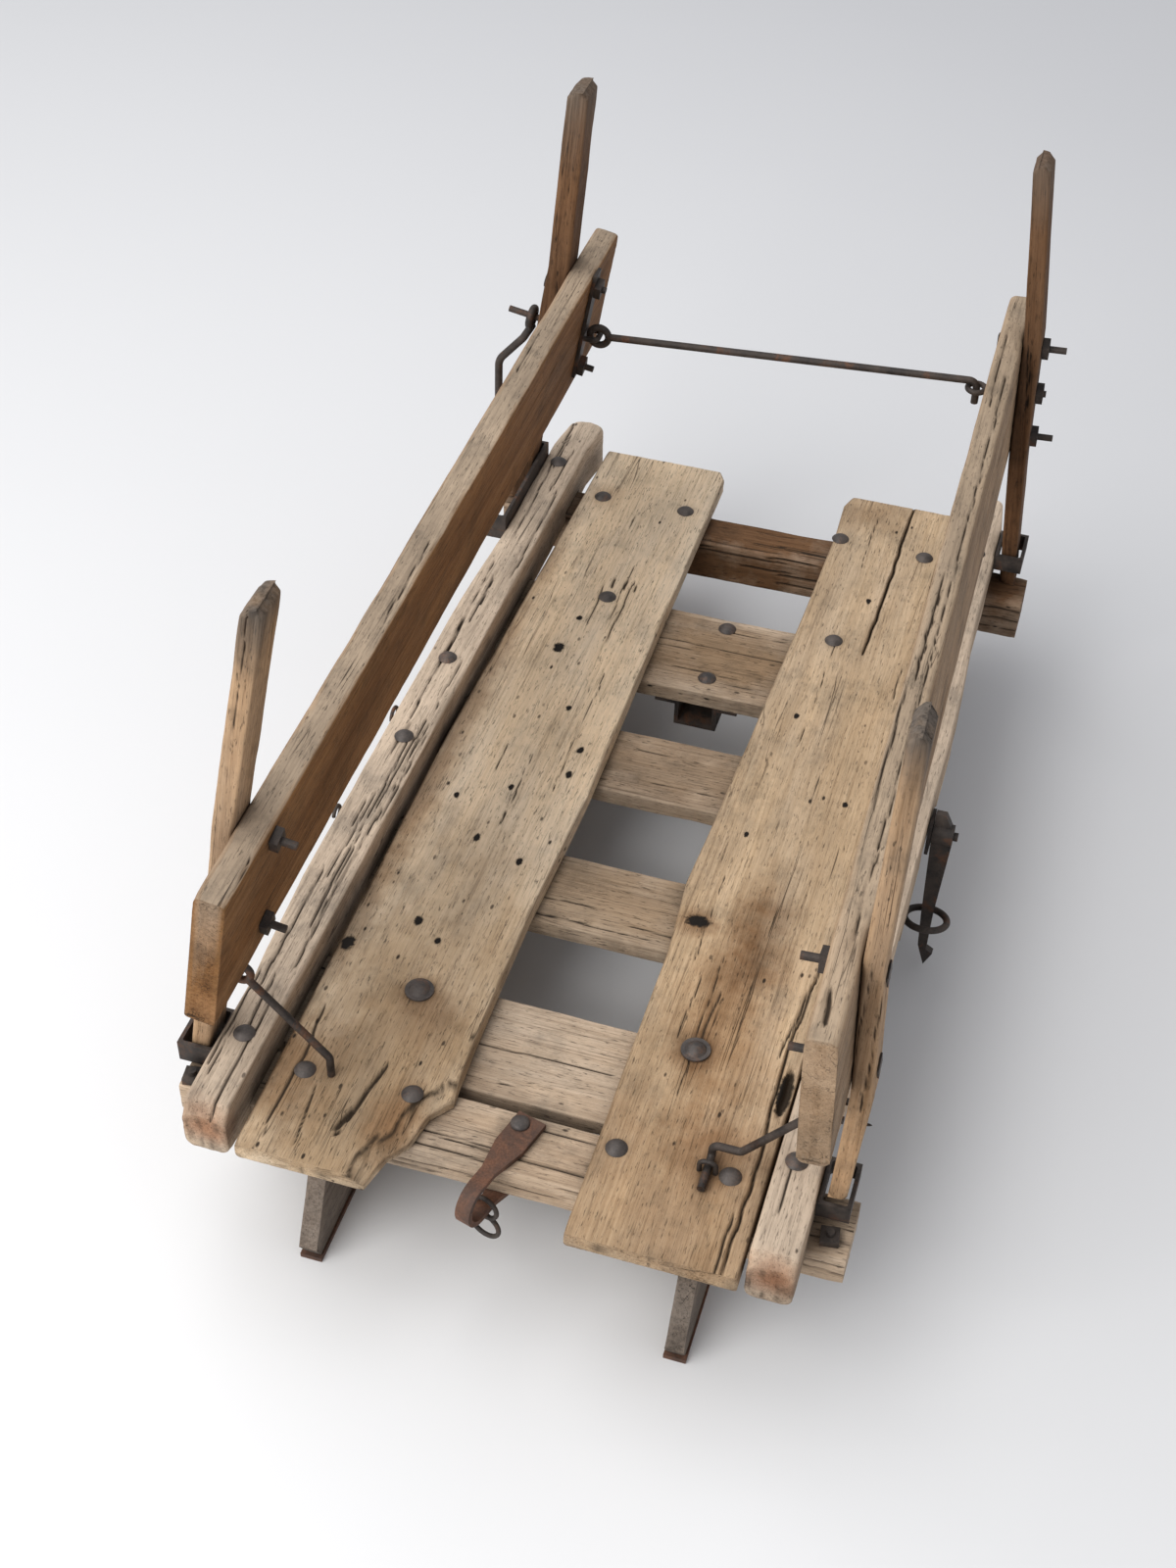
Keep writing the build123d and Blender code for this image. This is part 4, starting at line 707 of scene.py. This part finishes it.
# The left plank's broken corner: path, width, depth
LEFT_BREAK = ((plan((-64, 118), (-81, 96), (-88, 58), (-103, 36), (-112, 0)), 17 * MM, 11 * MM),)
RIGHT_CRACKS = (
    (TOP, plan((182, 1225), (182, 1043), (178, 905)), 1.4 * MM, 10 * MM),
    (TOP, plan((241, 396), (235, 304), (234, 212), (239, 140), (235, -4)), 1.25 * MM, 6 * MM),
    (TOP, plan((236, 359), (228, 262)), 1.0 * MM, 4 * MM),
    (TOP, plan((229, -4), (230, 67)), 1.1 * MM, 4 * MM),
    (TOP, plan((244, 250), (244, 196)), 4.2 * MM, 7 * MM),
    (TOP, plan((150, 330), (148, 250)), 1.2 * MM, 2 * MM),
)
RAIL_CRACKS = (
    (PLUS, [(0.2885, -0.557, 0.527), (0.2945, -0.596, 0.527)], 2.2 * MM, 4 * MM),
    (PLUS, [(0.296, -0.5, 0.527), (0.291, -0.1, 0.522), (0.284, 0.3, 0.515)], 0.85 * MM, 3 * MM),
)

# Boards. Checks of a board's own: face, how many, half width, depth
ALONG_Y, ALONG_X, ALONG_Z = (0, 1, 0), (1, 0, 0), (0, 0, 1)
FINE = {"pitch": 1.5 * MM, "spacing": 7 * MM}
THIN = {"pitch": 1.8 * MM, "spacing": 8 * MM}
board("deck_plank_left", ALONG_Y, deck_left_wood, 1, marks=LEFT_CRACKS, broken=LEFT_BREAK,
      checks=((TOP, 8, 0.8 * MM, 2 * MM),), **FINE)
board("deck_plank_right", ALONG_Y, deck_right_wood, 2, marks=RIGHT_CRACKS,
      checks=((TOP, 7, 0.7 * MM, 2 * MM),), **FINE)
board("sill_left", ALONG_Y, sill_wood, 3, wear=4 * MM, end_wear=7 * MM,
      checks=((TOP, 30, 0.95 * MM, 4 * MM), (PLUS, 3, 0.7 * MM, 2 * MM)), **THIN)
board("sill_right", ALONG_Y, sill_wood, 4, wear=4 * MM, end_wear=7 * MM,
      checks=((UNDER, 16, 1.1 * MM, 4 * MM), (PLUS, 4, 0.8 * MM, 2 * MM), (TOP, 10, 1.1 * MM, 3 * MM)), **THIN)
board("front_bolster", ALONG_X, frame_wood, 5, wear=3 * MM,
      checks=((TOP, 12, 0.9 * MM, 2.5 * MM), (MINUS, 8, 1.0 * MM, 3 * MM)), **THIN)
board("rear_bolster", ALONG_X, frame_wood, 6, wear=3 * MM,
      checks=((TOP, 12, 1.0 * MM, 3 * MM), (MINUS, 12, 1.1 * MM, 4 * MM)), **THIN)
board("cross_slats", ALONG_X, frame_wood, 15, wear=2.4 * MM, checks=((TOP, 7, 0.9 * MM, 2 * MM),), **THIN)
board("runner_left", ALONG_Y, runner_wood, 7)
board("runner_right", ALONG_Y, runner_wood, 8)
board("rail_left", ALONG_Y, rail_left_wood_painted_shade, 9, wear=3.5 * MM, end_wear=4 * MM,
      checks=((TOP, 7, 0.7 * MM, 2 * MM), (PLUS, 3, 0.8 * MM, 2 * MM), (UNDER, 6, 0.9 * MM, 3 * MM)), **THIN)
board("rail_right", ALONG_Y, rail_right_wood_painted_light, 10, wear=4.5 * MM, end_wear=7 * MM, marks=RAIL_CRACKS,
      checks=((TOP, 8, 0.9 * MM, 3 * MM), (PLUS, 6, 1.0 * MM, 3 * MM), (UNDER, 5, 0.8 * MM, 2 * MM)), **THIN)
STAKES = (
    ("stake_left_front", stake_front_wood, 11), ("stake_left_rear", stake_rear_wood, 12),
    ("stake_right_front", stake_front_wood, 13), ("stake_right_rear", stake_rear_wood, 14),
)
for node, material, seed in STAKES:
    board(node, ALONG_Z, material, seed, wear=4 * MM, end_wear=5 * MM,
          checks=((TOP, 3, 0.7 * MM, 1.5 * MM), (PLUS, 2, 0.7 * MM, 1.5 * MM)), **THIN)

# Iron keeps its CAD solids
BOLTS = ("deck_bolts", "sill_bolts", "slat_bolts")
RUSTY = ("shoe_left", "shoe_right", "hitch_strap")
for node, piece in frame["nodes"].items():
    if piece.hide_render:
        continue
    piece.data.materials.clear()
    piece.data.materials.append(bolt_iron if node in BOLTS else rusty_iron if node in RUSTY else dark_iron)


# Small irons of the scene: the strap's bolt, a nail in the right front stake, wire loops outside the left sill
def tube_faces(rings, steps, base=0):
    """Quads along rings of points, and a cap at each end."""
    index = base + np.arange(rings * steps).reshape(rings, steps)
    return quads_between(index[:-1], index[1:]).tolist() + [index[0, ::-1].tolist(), index[-1].tolist()]


def circle(centre, side, front, radii):
    """Points round a centre, with a radius for each, from millimetres."""
    angles = [2 * math.pi * k / len(radii) for k in range(len(radii))]
    return [tuple((centre + (side * math.cos(a) + front * math.sin(a)) * r) * MM) for a, r in zip(angles, radii)]


def small_iron(name, points, faces, material):
    mesh = bpy.data.meshes.new(name)
    mesh.from_pydata(points, [], faces)
    place_piece(name, mesh, material, "bed")


def turned(name, foot, axis, profile, material, steps):
    """A round piece with slightly hammered sides: profile of (radius, height) about an axis from its foot."""
    up = Vector(axis).normalized()
    side = up.orthogonal().normalized()
    front = up.cross(side)
    points = []
    for radius, rise in profile:
        dents = [1 + 0.03 * math.sin(6 * math.pi * k / steps + 4000 * rise) for k in range(steps)]
        points += circle(Vector(foot) + up * rise, side, front, [radius * dent for dent in dents])
    small_iron(name, points, tube_faces(len(profile), steps), material)


def wires(name, paths, radius, material, steps=10):
    """Round wires bent along paths of points in millimetres, all in one piece."""
    points, faces = [], []
    for path in paths:
        faces += tube_faces(len(path), steps, len(points))
        path = [Vector(p) for p in path]
        for before, spot, after in zip(path[:1] + path, path, path[1:] + path[-1:]):
            way = (after - before).normalized()
            side = way.cross(Vector((0.3, 0.2, 1.0))).normalized()
            points += circle(spot, side, way.cross(side), [radius] * steps)
    small_iron(name, points, faces, material)


LOOP_X = -315.5


def hook_arc(distance, z, start, end, radius):
    angles = [math.radians(a) for a in range(start, end + 1, 12)]
    return [(LOOP_X, distance + BED_FRONT + radius * math.cos(a), z + radius * math.sin(a)) for a in angles]


BOLT_HEAD = ((9.5, 0.1), (9.6, 1.2), (9.0, 2.6), (7.2, 4.0), (4.0, 5.0), (0.6, 5.3))
NAIL = ((1.6, 0.2), (1.6, 10.0), (1.2, 13.0), (0.3, 15.0))
WIRE_RADIUS = 2.2
turned("strap_bolt", (5.0, 116 + BED_FRONT, 176.2), (0, 0, 1), BOLT_HEAD, bolt_iron, 28)
turned("stake_nail", (323.0, 122 + BED_FRONT, 298.0), (1, 0, 0.1), NAIL, dark_iron, 12)
wires("sill_wire_loops", [hook_arc(615, 198, -70, 190, 10), hook_arc(439, 202, -60, 170, 9)], WIRE_RADIUS, dark_iron)

# Floor, paler towards the front left: painted light falloff, darker towards the back and the right
FLOOR = 14.0
corners = [(x * FLOOR, y * FLOOR, 0) for x, y in ((-1, -1), (1, -1), (1, 1), (-1, 1))]
floor_mesh = bpy.data.meshes.new("floor")
floor_mesh.from_pydata(corners, [], [(0, 1, 2, 3)])
floor = bpy.data.objects.new("floor", floor_mesh)
bpy.context.scene.collection.objects.link(floor)
paint = Nodes("floor_paint")
paint.shader.inputs["Roughness"].default_value = 0.6
paint.shader.inputs["Specular IOR Level"].default_value = 0.2
place = paint.add("ShaderNodeTexCoord").outputs["Object"]
# painted light falloff: the floor's colour darkens towards the back and the right, with a faint random cloud
far = paint.math("ADD", paint.times(paint.part(place, "Y"), 0.2), paint.times(paint.part(place, "X"), 0.13))
cloud = paint.times(paint.noise(place, 1.3, 3.0), 0.12)
shade = paint.math("ADD", paint.math("ADD", far, cloud), 0.34)
PAINTED_LIT_FLOOR, PAINTED_SHADED_FLOOR = (0.80, 0.80, 0.80), (0.69, 0.69, 0.70)
paint.link(paint.ramp(shade, (0.2, PAINTED_LIT_FLOOR), (0.9, PAINTED_SHADED_FLOOR)), paint.shader.inputs["Base Color"])
floor_mesh.materials.append(paint.material)

# Soft light: name, place, size, watts, colour
LAMP_AIM = (0, 0, 0.1)
LAMPS = (
    ("key", (-1.5, -2.7, 2.8), 3.0, 114, (1.0, 0.99, 0.975)),
    ("sky", (-1.7, 0.5, 4.1), 3.4, 72, (1.0, 1.0, 1.0)),
)
for name, spot, size, watts, colour in LAMPS:
    lamp = bpy.data.lights.new(name, "AREA")
    lamp.size = size
    lamp.energy = watts
    lamp.color = colour
    holder = bpy.data.objects.new(name, lamp)
    holder.location = spot
    holder.rotation_mode = "QUATERNION"
    holder.rotation_quaternion = (Vector(LAMP_AIM) - Vector(spot)).to_track_quat("-Z", "Y")
    bpy.context.scene.collection.objects.link(holder)

world = bpy.data.worlds.new("studio")
bpy.context.scene.world = world
world.use_nodes = True
background = world.node_tree.nodes["Background"]
background.inputs["Color"].default_value = (0.93, 0.95, 1.0, 1)
background.inputs["Strength"].default_value = 0.55

# Camera: solved from the bed's corners in the photograph
CAMERA_AT = (0.41235, -1.70017, 1.82214)
CAMERA_RIGHT = (0.95552, 0.29440, 0.01751)
CAMERA_DOWN = (0.21420, -0.65194, -0.72738)
CAMERA_AHEAD = (-0.20273, 0.69878, -0.68601)
LENS = 48.375
SENSOR = 36.0
camera_data = bpy.data.cameras.new("photo_camera")
camera_data.lens = LENS
camera_data.sensor_fit = "AUTO"
camera_data.sensor_width = SENSOR
camera = bpy.data.objects.new("photo_camera", camera_data)
turn = Matrix((Vector(CAMERA_RIGHT), -Vector(CAMERA_DOWN), -Vector(CAMERA_AHEAD))).transposed()
camera.matrix_world = Matrix.Translation(CAMERA_AT) @ turn.to_4x4()
bpy.context.scene.collection.objects.link(camera)
bpy.context.scene.camera = camera

bpy.context.scene.view_settings.view_transform = "Standard"
